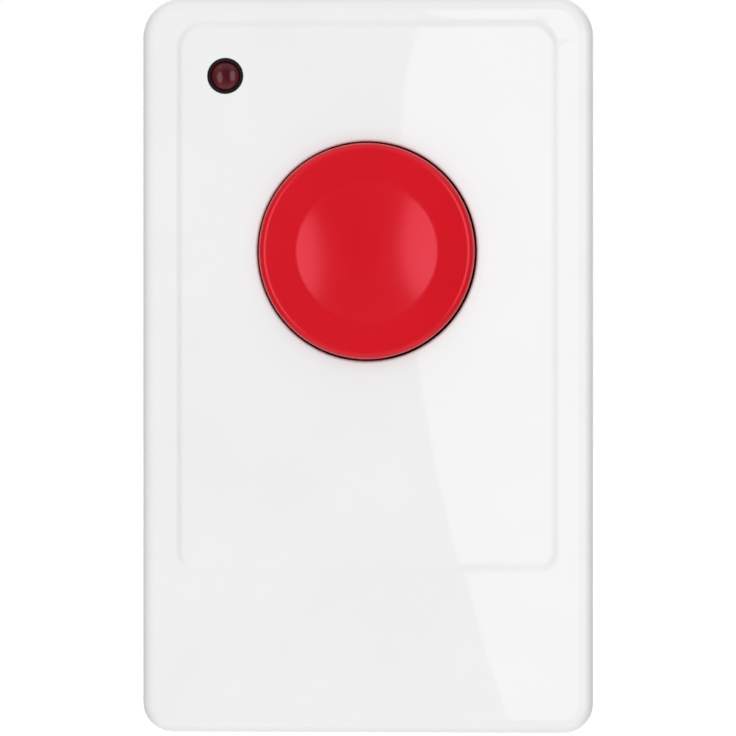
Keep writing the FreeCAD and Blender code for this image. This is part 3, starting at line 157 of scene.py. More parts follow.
def add_finish(
    name, dark, light, patch, roughness, grain, relief, stretch=(1.0, 1.0, 1.0), **sockets
):
    """A material with soft patches of colour and gloss and a fine relief.

    patch and grain are how many patches and grains there are to a metre, relief
    is the height of the grains, and roughness is its least and its most.
    """
    material = bpy.data.materials.new(name)
    material.use_nodes = True
    tree = material.node_tree
    shader = tree.nodes["Principled BSDF"]
    for socket, setting in sockets.items():
        label = socket.replace("_", " ").title().replace("Ior", "IOR")
        shader.inputs[label].default_value = setting
    place = add_node(tree, "ShaderNodeTexCoord")
    drawn_out = add_node(tree, "ShaderNodeMapping", Scale=stretch)
    patches = add_node(tree, "ShaderNodeTexNoise", Scale=patch, Detail=3.0)
    colour = add_node(tree, "ShaderNodeValToRGB")
    for stop, tone, position in zip(colour.color_ramp.elements, (dark, light), PATCH_BORDERS):
        stop.color = (*tone, 1.0)
        stop.position = position
    gloss = add_node(tree, "ShaderNodeMapRange", To_Min=roughness[0], To_Max=roughness[1])
    grains = add_node(tree, "ShaderNodeTexNoise", Scale=grain, Detail=2.0)
    bump = add_node(tree, "ShaderNodeBump", Strength=1.0, Distance=relief)
    tree.links.new(place.outputs["Object"], drawn_out.inputs["Vector"])
    tree.links.new(drawn_out.outputs["Vector"], patches.inputs["Vector"])
    tree.links.new(drawn_out.outputs["Vector"], grains.inputs["Vector"])
    tree.links.new(patches.outputs["Fac"], colour.inputs["Fac"])
    tree.links.new(patches.outputs["Fac"], gloss.inputs["Value"])
    tree.links.new(colour.outputs["Color"], shader.inputs["Base Color"])
    tree.links.new(gloss.outputs["Result"], shader.inputs["Roughness"])
    tree.links.new(grains.outputs["Fac"], bump.inputs["Height"])
    tree.links.new(bump.outputs["Normal"], shader.inputs["Normal"])
    return material


satin_white = add_finish(
    "satin_white", dark=(0.855, 0.857, 0.861), light=(0.872, 0.874, 0.878), patch=90.0,
    roughness=(0.42, 0.5), grain=1700.0, relief=0.012 * MM, specular_ior_level=0.4,
)
soften_node("rear_cover", "cover_back", "housing", satin_white)


# Battery door: a flat plate in the same satin white, with five grooves for the
# thumb, held by its tongues and slid off the foot of the case.
soften_node("battery_door", "door", "door", satin_white, edge=0.1 * MM)


# Cell: a 12 V remote-control battery, a steel can in a shrunk plastic sleeve,
# dark with a copper-coloured band towards its positive end.
CELL_START = -13.05 * MM
CELL_DEPTH = 7.5 * MM
CELL_UP = -28.0 * MM
CELL_RADIUS = 5.15 * MM
CELL_END = 27.7 * MM
NUB_RADIUS = 1.6 * MM
NUB_END = 28.5 * MM
SLEEVE_LIP = 0.5 * MM
BAND_FROM = 8.6 * MM
CELL_SEGMENTS = 72


def turn_profile(mesh, profile, segments, place):
    """Spins a chain of radii and distances about the Y axis of a place, closed at its ends."""
    others = set(mesh.verts)
    vertices = [
        mesh.verts.new(place @ Vector((radius, -along, 0.0))) for radius, along in profile
    ]
    edges = [mesh.edges.new(pair) for pair in zip(vertices, vertices[1:])]
    bmesh.ops.spin(
        mesh, geom=vertices + edges, cent=place.translation, axis=place.col[1].xyz,
        angle=2 * math.pi, steps=segments, use_merge=True,
    )
    turned = [vertex for vertex in mesh.verts if vertex not in others]
    bmesh.ops.remove_doubles(mesh, verts=turned, dist=WELD)
    bmesh.ops.recalc_face_normals(mesh, faces=mesh.faces)


def paint(piece, material, is_painted):
    """Gives one more material to the faces of a piece that a test picks out."""
    piece.data.materials.append(material)
    for face in piece.data.polygons:
        if is_painted(face):
            face.material_index = len(piece.data.materials) - 1


# From the flat end: the sunk base, its rim, the sleeve, the rolled shoulder, the nub.
cell_mesh = bmesh.new()
turn_profile(
    cell_mesh,
    [
        (0.0, 0.15 * MM), (3.6 * MM, 0.15 * MM), (3.9 * MM, 0.0), (4.75 * MM, 0.0),
        (5.02 * MM, 0.12 * MM), (CELL_RADIUS, 0.4 * MM),
        (CELL_RADIUS, BAND_FROM - CELL_START), (CELL_RADIUS, CELL_END - 0.9 * MM),
        (5.06 * MM, CELL_END - 0.45 * MM),
        (4.8 * MM, CELL_END - 0.15 * MM), (4.4 * MM, CELL_END - 0.02 * MM),
        (4.1 * MM, CELL_END - 0.25 * MM), (NUB_RADIUS + 0.5 * MM, CELL_END - 0.25 * MM),
        (NUB_RADIUS, CELL_END - 0.05 * MM), (NUB_RADIUS, NUB_END - 0.2 * MM),
        (NUB_RADIUS - 0.2 * MM, NUB_END), (0.0, NUB_END),
    ],
    CELL_SEGMENTS,
    Matrix.Translation((CELL_START, -CELL_DEPTH, CELL_UP)) @ Matrix.Rotation(math.pi / 2, 4, "Z"),
)
cell_sleeve = add_finish(
    "cell_sleeve", dark=(0.012, 0.013, 0.017), light=(0.02, 0.021, 0.026), patch=150.0,
    roughness=(0.22, 0.3), grain=900.0, relief=0.01 * MM, coat_weight=0.6, coat_roughness=0.08,
)
copper_band = add_finish(
    "copper_band", dark=(0.50, 0.22, 0.075), light=(0.60, 0.28, 0.10), patch=200.0,
    roughness=(0.25, 0.34), grain=900.0, relief=0.01 * MM, metallic=0.8,
)
plated_steel = add_finish(
    "plated_steel", dark=(0.56, 0.56, 0.55), light=(0.68, 0.68, 0.67), patch=350.0,
    roughness=(0.22, 0.34), grain=1400.0, relief=0.003 * MM, stretch=(1.0, 1.0, 5.0), metallic=1.0,
)
cell = add_piece("cell", cell_mesh, "housing", "battery", cell_sleeve)
paint(cell, copper_band, lambda face: face.center.x > BAND_FROM)
paint(cell, plated_steel, lambda face: (
    math.hypot(face.center.y + CELL_DEPTH, face.center.z - CELL_UP) < CELL_RADIUS - SLEEVE_LIP
))
even_shading(cell)


# Cell contacts: nickel-plated spring steel blades in the ends of the tub, the
# negative one with its bent leaf.
for node, name in (("negative_contact", "leaf_contact"), ("positive_contact", "flat_contact")):
    soften_node(node, name, "housing", plated_steel, edge=0.05 * MM)


# Circuit board: glass laminate under green lacquer, through which the copper
# tracks show faintly, cut to the case and laid on the posts of the front cover.
LACQUER_DARK = (0.008, 0.085, 0.03)
LACQUER_LIGHT = (0.012, 0.11, 0.04)
TRACK_GREEN = (0.03, 0.19, 0.07)
FIELD_SCALE = 130.0
UPRIGHT_OVER = 0.5
TRACKS_OVER = 0.4
TRACK_SCALE = 240.0
TRACK_BORDER = (0.55, 0.65)

lacquer = add_finish(
    "lacquered_board", dark=LACQUER_DARK, light=LACQUER_LIGHT, patch=300.0,
    roughness=(0.25, 0.35), grain=2500.0, relief=0.004 * MM, coat_weight=0.5,
)
# Bundles of tracks run across in some square fields of the board, and up in others.
tree = lacquer.node_tree
shader = tree.nodes["Principled BSDF"]
plain = shader.inputs["Base Color"].links[0].from_socket
place = add_node(tree, "ShaderNodeTexCoord")
upright = add_node(tree, "ShaderNodeMapping", Rotation=(math.pi / 2, 0.0, 0.0))
fields = add_node(
    tree, "ShaderNodeTexVoronoi", voronoi_dimensions="2D", distance="CHEBYCHEV",
    Scale=FIELD_SCALE,
)
chance = add_node(tree, "ShaderNodeSeparateColor")
runs_up = add_node(tree, "ShaderNodeMath", operation="GREATER_THAN")
runs_up.inputs[1].default_value = UPRIGHT_OVER
has_tracks = add_node(tree, "ShaderNodeMath", operation="GREATER_THAN")
has_tracks.inputs[1].default_value = TRACKS_OVER
across = add_node(tree, "ShaderNodeTexWave", bands_direction="Y", Scale=TRACK_SCALE)
along = add_node(tree, "ShaderNodeTexWave", bands_direction="X", Scale=TRACK_SCALE)
bundle = add_node(tree, "ShaderNodeMix", data_type="FLOAT")
track = add_node(
    tree, "ShaderNodeMapRange", From_Min=TRACK_BORDER[0], From_Max=TRACK_BORDER[1],
    To_Min=0.0, To_Max=1.0,
)
copper = add_node(tree, "ShaderNodeMath", operation="MULTIPLY")
laid = add_node(tree, "ShaderNodeMix", data_type="RGBA")
laid.inputs["B"].default_value = (*TRACK_GREEN, 1.0)
for source, target in (
    (place.outputs["Object"], upright.inputs["Vector"]),
    (upright.outputs["Vector"], fields.inputs["Vector"]),
    (upright.outputs["Vector"], across.inputs["Vector"]),
    (upright.outputs["Vector"], along.inputs["Vector"]),
    (fields.outputs["Color"], chance.inputs["Color"]),
    (chance.outputs["Red"], runs_up.inputs[0]),
    (chance.outputs["Green"], has_tracks.inputs[0]),
    (runs_up.outputs["Value"], bundle.inputs["Factor"]),
    (across.outputs["Fac"], bundle.inputs["A"]),
    (along.outputs["Fac"], bundle.inputs["B"]),
    (bundle.outputs["Result"], track.inputs["Value"]),
    (track.outputs["Result"], copper.inputs[0]),
    (has_tracks.outputs["Value"], copper.inputs[1]),
    (copper.outputs["Value"], laid.inputs["Factor"]),
    (plain, laid.inputs["A"]),
    (laid.outputs["Result"], shader.inputs["Base Color"]),
):
    tree.links.new(source, target)
for slot in nodes["circuit_board"].material_slots:
    slot.material = lacquer


# Coding chip: a black epoxy block of fourteen leads, moulded with a slight taper
# to both faces and a round mark at its first lead, soldered on its tinned feet.
CHIP_X = 9.5 * MM
CHIP_UP = -9.0 * MM
CHIP_REAR = 11.1 * MM
CHIP_FRONT = 12.6 * MM
CHIP_HALF_LENGTH = 4.325 * MM
CHIP_HALF_WIDTH = 1.95 * MM
CHIP_TAPER = (0.975, 1.0, 0.945)
MARK_RADIUS = 0.4 * MM
MARK_DEPTH = 0.1 * MM
MARK_INSET = 1.0 * MM
MARK_SEGMENTS = 24


def add_block(mesh, low, high, place=Matrix.Identity(4)):
    """A block between two corners, each given as across, depth and height."""
    made = bmesh.ops.create_cube(mesh, size=1.0)["verts"]
    size = Vector(high) - Vector(low)
    middle = (Vector(high) + Vector(low)) / 2
    bmesh.ops.scale(mesh, vec=size, verts=made)
    bmesh.ops.translate(mesh, vec=(middle.x, -middle.y, middle.z), verts=made)
    bmesh.ops.transform(mesh, matrix=place, verts=made)


def draw_circle(mesh, x, up, radius, depth, segments):
    """The edges of an upright circle, that far from the wall."""
    place = Matrix.Translation((x, -depth, up)) @ Matrix.Rotation(math.pi / 2, 4, "X")
    made = bmesh.ops.create_circle(
        mesh, cap_ends=False, radius=radius, segments=segments, matrix=place
    )
    return list({edge for vertex in made["verts"] for edge in vertex.link_edges})


def draw_on(mesh, edges, move=(0.0, 0.0, 0.0), factor=1.0, centre=(0.0, 0.0)):
    """Draws a loop of edges on, moved and scaled about a point of its plane."""
    made = bmesh.ops.extrude_edge_only(mesh, edges=edges)["geom"]
    vertices = [item for item in made if isinstance(item, bmesh.types.BMVert)]
    bmesh.ops.scale(
        mesh, vec=(factor, 1.0, factor), verts=vertices,
        space=Matrix.Translation((-centre[0], 0.0, -centre[1])),
    )
    bmesh.ops.translate(mesh, vec=move, verts=vertices)
    fresh = set(vertices)
    return [
        item for item in made
        if isinstance(item, bmesh.types.BMEdge) and all(vertex in fresh for vertex in item.verts)
    ]


def cut_across(mesh, point, normal):
    """Divides the faces of a mesh along a plane."""
    bmesh.ops.bisect_plane(
        mesh, geom=mesh.verts[:] + mesh.edges[:] + mesh.faces[:], dist=WELD, plane_co=point,
        plane_no=normal,
    )


chip_mesh = bmesh.new()
add_block(
    chip_mesh, (CHIP_X - CHIP_HALF_LENGTH, CHIP_REAR, CHIP_UP - CHIP_HALF_WIDTH),
    (CHIP_X + CHIP_HALF_LENGTH, CHIP_FRONT, CHIP_UP + CHIP_HALF_WIDTH),
)
chip_middle = -(CHIP_REAR + CHIP_FRONT) / 2
cut_across(chip_mesh, (0.0, chip_middle, 0.0), (0.0, 1.0, 0.0))
bmesh.ops.scale(
    chip_mesh, vec=CHIP_TAPER, space=Matrix.Translation((-CHIP_X, -chip_middle, -CHIP_UP)),
    verts=[vertex for vertex in chip_mesh.verts if abs(vertex.co.y - chip_middle) > WELD],
)
chip_face = min(chip_mesh.faces, key=lambda face: face.calc_center_median().y)
chip_edges = list(chip_face.edges)
bmesh.ops.delete(chip_mesh, geom=[chip_face], context="FACES_ONLY")
mark_edges = draw_circle(
    chip_mesh, CHIP_X - CHIP_HALF_LENGTH + MARK_INSET, CHIP_UP - CHIP_HALF_WIDTH + MARK_INSET,
    MARK_RADIUS, CHIP_FRONT, MARK_SEGMENTS,
)
bmesh.ops.triangle_fill(
    chip_mesh, use_beauty=True, edges=chip_edges + mark_edges, normal=(0.0, -1.0, 0.0)
)
mark_edges = draw_on(chip_mesh, mark_edges, move=(0.0, MARK_DEPTH, 0.0))
bmesh.ops.contextual_create(chip_mesh, geom=mark_edges)
bmesh.ops.recalc_face_normals(chip_mesh, faces=chip_mesh.faces)
chip_black = add_finish(
    "chip_black", dark=(0.012, 0.012, 0.013), light=(0.02, 0.02, 0.021), patch=500.0,
    roughness=(0.5, 0.62), grain=4000.0, relief=0.006 * MM,
)
chip = add_piece("coding_chip", chip_mesh, "housing", "encoder_chip", chip_black)
soften(chip, 0.03 * MM)
solder_tin = add_finish(
    "solder_tin", dark=(0.60, 0.61, 0.62), light=(0.74, 0.75, 0.76), patch=700.0,
    roughness=(0.2, 0.38), grain=2500.0, relief=0.006 * MM, metallic=1.0,
)
soften_node("encoder_leads", "chip_feet", "housing", solder_tin, edge=0.03 * MM)


# Transmitter: a resonator in a plated steel can, and a small moulded transistor
# on three tinned legs.
TRANSISTOR_HALF_WIDTH = 0.65 * MM
soften_node(
    "saw_resonator", "resonator_can", "housing", plated_steel, edge=0.1 * MM
)
transistor = soften_node(
    "rf_transistor", "transistor", "housing", chip_black, edge=0.04 * MM
)
paint(transistor, solder_tin, lambda face: (
    abs(face.center.z - CHIP_UP) > TRANSISTOR_HALF_WIDTH + WELD
))


# Chip capacitors and resistors: two rows of small ceramic blocks with tinned
# ends. The capacitors are tan all through, the resistors white under a dark film.
BOARD_FRONT = 11.0 * MM
SMALL_PITCH = 4.0 * MM
SMALL_HALF_LENGTH = 0.8 * MM
SMALL_HALF_WIDTH = 0.4 * MM
SMALL_BODY_HALF = 0.5 * MM
FACES_OUT = -0.9


def add_chip_row(name, stands_for, count, up, height, body_material, top_material):
    """A row of blocks on the board with tinned ends and a top of its own colour."""
    mesh = bmesh.new()
    start = -(count - 1) / 2 * SMALL_PITCH
    for number in range(count):
        middle = start + number * SMALL_PITCH
        add_block(
            mesh, (middle - SMALL_HALF_LENGTH, BOARD_FRONT, up - SMALL_HALF_WIDTH),
            (middle + SMALL_HALF_LENGTH, BOARD_FRONT + height, up + SMALL_HALF_WIDTH),
        )
        for side in (-1, 1):
            cut_across(mesh, (middle + side * SMALL_BODY_HALF, 0.0, 0.0), (1.0, 0.0, 0.0))
    row = add_piece(name, mesh, "housing", stands_for, body_material)
    paint(row, solder_tin, lambda face: (
        abs((face.center.x - start + SMALL_PITCH / 2) % SMALL_PITCH - SMALL_PITCH / 2)
        > SMALL_BODY_HALF
    ))
    paint(row, top_material, lambda face: (
        face.material_index == 0 and face.normal.y < FACES_OUT
    ))
    soften(row, 0.04 * MM)


tan_ceramic = add_finish(
    "tan_ceramic", dark=(0.36, 0.24, 0.13), light=(0.43, 0.30, 0.17), patch=900.0,
    roughness=(0.35, 0.45), grain=3000.0, relief=0.004 * MM,
)
white_ceramic = add_finish(
    "white_ceramic", dark=(0.74, 0.73, 0.70), light=(0.80, 0.79, 0.76), patch=900.0,
    roughness=(0.4, 0.5), grain=3000.0, relief=0.004 * MM,
)
dark_film = add_finish(
    "dark_film", dark=(0.01, 0.01, 0.012), light=(0.03, 0.03, 0.034), patch=900.0,
    roughness=(0.3, 0.45), grain=3000.0, relief=0.004 * MM,
)
add_chip_row(
    "capacitor_row", "chip_capacitors", count=5, up=-12.6 * MM,
    height=0.8 * MM, body_material=tan_ceramic, top_material=tan_ceramic,
)
add_chip_row(
    "resistor_row", "chip_resistors", count=6, up=-15.4 * MM,
    height=0.45 * MM, body_material=white_ceramic, top_material=dark_film,
)


# Smoothing capacitor: a drawn aluminium can, rolled in near its foot and marked
# black on its negative side, on a square plastic plinth behind the board.
CAN_X = 12.0 * MM
CAN_UP = 4.8 * MM
CAN_TOP = 4.0 * MM
CAN_FOOT = 8.6 * MM
CAN_RADIUS = 2.5 * MM
CAN_GROOVE = 2.38 * MM
CAN_SEGMENTS = 48
MARK_REACH = 1.3 * MM
MARK_START = 1.0 * MM
PLINTH_HALF = 2.65 * MM
PLINTH_CORNER = 0.8 * MM
BOARD_REAR = 9.4 * MM

can_mesh = bmesh.new()
add_block(
    can_mesh, (CAN_X - PLINTH_HALF, CAN_FOOT, CAN_UP - PLINTH_HALF),
    (CAN_X + PLINTH_HALF, BOARD_REAR, CAN_UP + PLINTH_HALF),
)
bmesh.ops.bevel(
    can_mesh, offset=PLINTH_CORNER, segments=1, profile=0.5, affect="EDGES", material=-1,
    geom=[
        edge for edge in can_mesh.edges
        if all(vertex.co.x > CAN_X for vertex in edge.verts)
        and abs(edge.verts[0].co.z - edge.verts[1].co.z) < WELD
    ],
)
turn_profile(
    can_mesh,
    [
        (0.0, CAN_TOP), (MARK_REACH, CAN_TOP), (2.2 * MM, CAN_TOP), (2.42 * MM, 4.07 * MM),
        (CAN_RADIUS, 4.28 * MM), (CAN_RADIUS, 7.2 * MM), (CAN_GROOVE, 7.4 * MM),
        (CAN_GROOVE, 7.6 * MM), (CAN_RADIUS, 7.8 * MM), (CAN_RADIUS, 8.45 * MM),
        (2.4 * MM, CAN_FOOT), (0.0, CAN_FOOT),
    ],
    CAN_SEGMENTS, Matrix.Translation((CAN_X, 0.0, CAN_UP)),
)
drawn_aluminium = add_finish(
    "drawn_aluminium", dark=(0.70, 0.71, 0.72), light=(0.80, 0.81, 0.82), patch=300.0,
    roughness=(0.2, 0.32), grain=1800.0, relief=0.003 * MM, stretch=(1.0, 8.0, 1.0), metallic=1.0,
)
can = add_piece(
    "can_capacitor", can_mesh, "housing", "electrolytic_capacitor",
    drawn_aluminium,
)
paint(can, chip_black, lambda face: (
    face.center.y < -CAN_FOOT
    or face.center.y > -CAN_TOP - WELD and face.center.x > CAN_X + MARK_START
    and math.hypot(face.center.x - CAN_X, face.center.z - CAN_UP) > MARK_REACH
))
soften(can, 0.04 * MM)


# Loop aerial: a round tinned wire bent to a bridge over the top of the board,
# with both ends soldered through it.
AERIAL_LEFT = -7.0 * MM
AERIAL_RIGHT = 15.0 * MM
AERIAL_UP = 31.2 * MM
AERIAL_RADIUS = 0.4 * MM
AERIAL_TAIL = 8.4 * MM
AERIAL_CREST = 14.8 * MM
AERIAL_BEND = 0.9 * MM
AERIAL_SEGMENTS = 16
BEND_STEPS = 8


def bend_on(mesh, edges, centre):
    """Takes a loop of edges round a quarter turn about an upright line."""
    made = bmesh.ops.spin(
        mesh, geom=list({vertex for edge in edges for vertex in edge.verts}) + edges,
        cent=centre, axis=(0.0, 0.0, 1.0), angle=math.pi / 2, steps=BEND_STEPS,
    )
    return [item for item in made["geom_last"] if isinstance(item, bmesh.types.BMEdge)]


aerial_mesh = bmesh.new()
rise = AERIAL_CREST - AERIAL_BEND - AERIAL_TAIL
wire_edges = draw_circle(
    aerial_mesh, AERIAL_LEFT, AERIAL_UP, AERIAL_RADIUS, AERIAL_TAIL, AERIAL_SEGMENTS
)
wire_edges = draw_on(aerial_mesh, wire_edges, move=(0.0, -rise, 0.0))
wire_edges = bend_on(
    aerial_mesh, wire_edges, (AERIAL_LEFT + AERIAL_BEND, AERIAL_BEND - AERIAL_CREST, AERIAL_UP)
)
wire_edges = draw_on(
    aerial_mesh, wire_edges, move=(AERIAL_RIGHT - AERIAL_LEFT - 2 * AERIAL_BEND, 0.0, 0.0)
)
wire_edges = bend_on(
    aerial_mesh, wire_edges, (AERIAL_RIGHT - AERIAL_BEND, AERIAL_BEND - AERIAL_CREST, AERIAL_UP)
)
draw_on(aerial_mesh, wire_edges, move=(0.0, rise, 0.0))
bmesh.ops.holes_fill(
    aerial_mesh, edges=[edge for edge in aerial_mesh.edges if edge.is_boundary], sides=0
)
bmesh.ops.recalc_face_normals(aerial_mesh, faces=aerial_mesh.faces)
aerial = add_piece(
    "aerial", aerial_mesh, "housing", "loop_aerial", solder_tin
)
even_shading(aerial)


# Push switch: a black moulded base and plunger under a folded steel cover, its
# four pins soldered through the board behind the button.
black_nylon = add_finish(
    "black_nylon", dark=(0.010, 0.009, 0.010), light=(0.018, 0.016, 0.017), patch=400.0,
    roughness=(0.4, 0.52), grain=2200.0, relief=0.008 * MM,
)
for node, name, body, slot, material in (
    ("switch_base", "switch_well", "housing", "switch_plastic", black_nylon),
    ("switch_plunger", "switch_stem", "plunger", "switch_plastic", black_nylon),
    ("switch_cover", "switch_lid", "housing", "plated_steel", plated_steel),
    ("switch_terminals", "switch_pins", "housing", "tinned_metal", solder_tin),
):
    soften_node(node, name, body, material, edge=0.06 * MM)


# Return spring: round spring-steel wire wound round the switch, from the board
# to the underside of the cap.
BUTTON_UP = 12.3 * MM
SPRING_RADIUS = 5.2 * MM
SPRING_WIRE = 0.25 * MM
SPRING_REAR = 11.03 * MM
SPRING_FRONT = 16.87 * MM
SPRING_TURNS = 2.3
WIRE_STEPS = 110
WIRE_SEGMENTS = 14

spring_mesh = bmesh.new()
bmesh.ops.create_circle(
    spring_mesh, cap_ends=False, radius=SPRING_WIRE, segments=WIRE_SEGMENTS,
    matrix=Matrix.Translation((SPRING_RADIUS, -SPRING_REAR - SPRING_WIRE, BUTTON_UP)),
)
wire_rise = SPRING_FRONT - SPRING_REAR - 2 * SPRING_WIRE
bmesh.ops.spin(
    spring_mesh, geom=spring_mesh.verts[:] + spring_mesh.edges[:],
    cent=(0.0, 0.0, BUTTON_UP), axis=(0.0, 1.0, 0.0), dvec=(0.0, -wire_rise / WIRE_STEPS, 0.0),
    angle=2 * math.pi * SPRING_TURNS, steps=WIRE_STEPS,
)
bmesh.ops.holes_fill(
    spring_mesh, edges=[edge for edge in spring_mesh.edges if edge.is_boundary], sides=0
)
bmesh.ops.recalc_face_normals(spring_mesh, faces=spring_mesh.faces)
spring_wire = add_finish(
    "spring_wire", dark=(0.42, 0.42, 0.43), light=(0.55, 0.55, 0.56), patch=500.0,
    roughness=(0.22, 0.34), grain=1500.0, relief=0.002 * MM, metallic=1.0,
)
spring = add_piece(
    "return_spring", spring_mesh, "housing", "button_spring", spring_wire
)
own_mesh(spring)


# Status lamp: a 3 mm diode of dark red resin with a shallow dome, unlit, in a
# black sleeve that lines its hole in the panel.
LAMP_X = -15.4 * MM
LAMP_UP = 31.35 * MM
INNER_DEPTH = 16.0 * MM
LENS_RADIUS = 1.5 * MM
LENS_DOME = 0.5 * MM
LENS_APEX = 18.2 * MM
LENS_FLANGE = 1.9 * MM
LENS_REAR = 12.9 * MM
LENS_SHOULDER = 13.9 * MM
LENS_STEPS = 14
LAMP_SEGMENTS = 64
SLEEVE_RADIUS = 1.9 * MM
SLEEVE_BORE = 1.55 * MM
SLEEVE_TOP = 17.9 * MM
SLEEVE_FLANGE = 2.9 * MM
SLEEVE_BEVEL = 0.12 * MM
at_lamp = Matrix.Translation((LAMP_X, 0.0, LAMP_UP))

lens_curve = (LENS_RADIUS ** 2 + LENS_DOME ** 2) / (2 * LENS_DOME)
dome_turn = math.asin(LENS_RADIUS / lens_curve)
lens_profile = []
for step in range(LENS_STEPS + 1):
    turn = dome_turn * step / LENS_STEPS
    lens_profile.append((
        lens_curve * math.sin(turn), LENS_APEX - lens_curve * (1 - math.cos(turn))
    ))
lens_profile += [
    (LENS_RADIUS, LENS_SHOULDER), (LENS_FLANGE, LENS_SHOULDER), (LENS_FLANGE, LENS_REAR),
    (0.0, LENS_REAR),
]
lens_mesh = bmesh.new()
turn_profile(lens_mesh, lens_profile, LAMP_SEGMENTS, at_lamp)
red_resin = add_finish(
    "red_resin", dark=(0.055, 0.003, 0.006), light=(0.088, 0.005, 0.009), patch=500.0,
    roughness=(0.15, 0.18), grain=800.0, relief=0.0005 * MM,
    specular_tint=(1.0, 0.68, 0.72, 1.0),
)
lens = add_piece("lamp_lens", lens_mesh, "housing", "led_lens", red_resin)
even_shading(lens)
soften_node("led_leads", "lamp_legs", "housing", solder_tin, edge=0.04 * MM)

sleeve_mesh = bmesh.new()
turn_profile(
    sleeve_mesh,
    [
        (SLEEVE_BORE, LENS_SHOULDER), (SLEEVE_BORE, SLEEVE_TOP - SLEEVE_BEVEL),
        (SLEEVE_BORE + SLEEVE_BEVEL, SLEEVE_TOP), (SLEEVE_RADIUS - SLEEVE_BEVEL / 2, SLEEVE_TOP),
        (SLEEVE_RADIUS, SLEEVE_TOP - SLEEVE_BEVEL / 2), (SLEEVE_RADIUS, INNER_DEPTH),
        (SLEEVE_FLANGE, INNER_DEPTH), (SLEEVE_FLANGE, LENS_SHOULDER),
        (SLEEVE_BORE, LENS_SHOULDER),
    ],
    LAMP_SEGMENTS, at_lamp,
)
black_sleeve = add_finish(
    "black_sleeve", dark=(0.006, 0.003, 0.0035), light=(0.010, 0.005, 0.006), patch=700.0,
    roughness=(0.46, 0.54), grain=2500.0, relief=0.004 * MM, specular_ior_level=0.22,
)
sleeve = add_piece(
    "lamp_sleeve", sleeve_mesh, "housing", "led_holder", black_sleeve
)
even_shading(sleeve)


# Button cap: one glossy red ABS moulding with a shallow dish inside a flat ring.
# Its lugs catch behind the front cover, two of them with keys that stop it
# turning, its ribs centre the spring and its stem presses the switch.
CAP_RADIUS = 11.7 * MM
CAP_TOP = 19.5 * MM
CAP_EDGE = 0.9 * MM
DISH_RADIUS = 7.7 * MM
DISH_DEPTH = 1.2 * MM
CREASE = 0.3 * MM
SKIRT_INNER = 10.3 * MM
SKIRT_MIDDLE = 11.0 * MM
SKIRT_REAR = 15.0 * MM
CORE_DEPTH = 16.9 * MM
LUG_REACH = 13.1 * MM
LUG_HALF = 2.0 * MM
KEY_REACH = 14.5 * MM
KEY_HALF = 1.0 * MM
RIB_START = 5.75 * MM
RIB_HALF = 0.4 * MM
RIB_REAR = 15.9 * MM
STEM_HALF = 1.5 * MM
STEM_REAR = 16.05 * MM
EMBED = 0.1 * MM
STAND_BACK = 0.02 * MM
DISH_STEPS = 28
CREASE_STEPS = 6
EDGE_STEPS = 14
CAP_SEGMENTS = 160

# The dish rises evenly steeper to the crease, and levels out across it.
inner_radius = DISH_RADIUS - CREASE
steepening = DISH_DEPTH / (inner_radius ** 2 / 2 + CREASE * inner_radius)
crease_fall = steepening * inner_radius * CREASE
cap_profile = []
for step in range(DISH_STEPS):
    radius = inner_radius * step / DISH_STEPS
    fall = crease_fall + steepening * (inner_radius ** 2 - radius ** 2) / 2
    cap_profile.append((radius, CAP_TOP - fall))
for step in range(CREASE_STEPS + 1):
    share = step / CREASE_STEPS
    cap_profile.append((
        inner_radius + 2 * CREASE * share, CAP_TOP - crease_fall * (1 - share) ** 2
    ))
cap_profile.append((CAP_RADIUS - CAP_EDGE - CREASE, CAP_TOP))
for step in range(EDGE_STEPS + 1):
    turn = math.pi / 2 * step / EDGE_STEPS
    cap_profile.append((
        CAP_RADIUS - CAP_EDGE + CAP_EDGE * math.sin(turn),
        CAP_TOP - CAP_EDGE + CAP_EDGE * math.cos(turn),
    ))
cap_profile += [
    (CAP_RADIUS, SKIRT_REAR), (SKIRT_INNER, SKIRT_REAR), (SKIRT_INNER, CORE_DEPTH),
    (0.0, CORE_DEPTH),
]
cap_mesh = bmesh.new()
at_button = Matrix.Translation((0.0, 0.0, BUTTON_UP))
turn_profile(cap_mesh, cap_profile, CAP_SEGMENTS, at_button)
for quarter in range(4):
    turned = at_button @ Matrix.Rotation(quarter * math.pi / 2, 4, "Y")
    add_block(
        cap_mesh, (SKIRT_MIDDLE, SKIRT_REAR + STAND_BACK, -LUG_HALF),
        (LUG_REACH, INNER_DEPTH, LUG_HALF), turned,
    )
    if quarter % 2 == 0:
        add_block(
            cap_mesh, (LUG_REACH, SKIRT_REAR + STAND_BACK, -KEY_HALF),
            (KEY_REACH, INNER_DEPTH, KEY_HALF), turned,
        )
for sixth in range(6):
    turned = at_button @ Matrix.Rotation(sixth * math.pi / 3, 4, "Y")
    add_block(
        cap_mesh, (RIB_START, RIB_REAR, -RIB_HALF),
        (SKIRT_MIDDLE, CORE_DEPTH + EMBED, RIB_HALF), turned,
    )
add_block(
    cap_mesh, (-STEM_HALF, STEM_REAR, -STEM_HALF), (STEM_HALF, CORE_DEPTH + EMBED, STEM_HALF),
    at_button,
)
red_abs = add_finish(
    "red_abs", dark=(0.542, 0.0014, 0.006), light=(0.559, 0.002, 0.007), patch=160.0,
    roughness=(0.21, 0.23), grain=2200.0, relief=0.0012 * MM,
    specular_ior_level=1.0, specular_tint=(1.0, 0.26, 0.35, 1.0),
)
button = add_piece("button", cap_mesh, "button", "button_cap", red_abs)
even_shading(button)


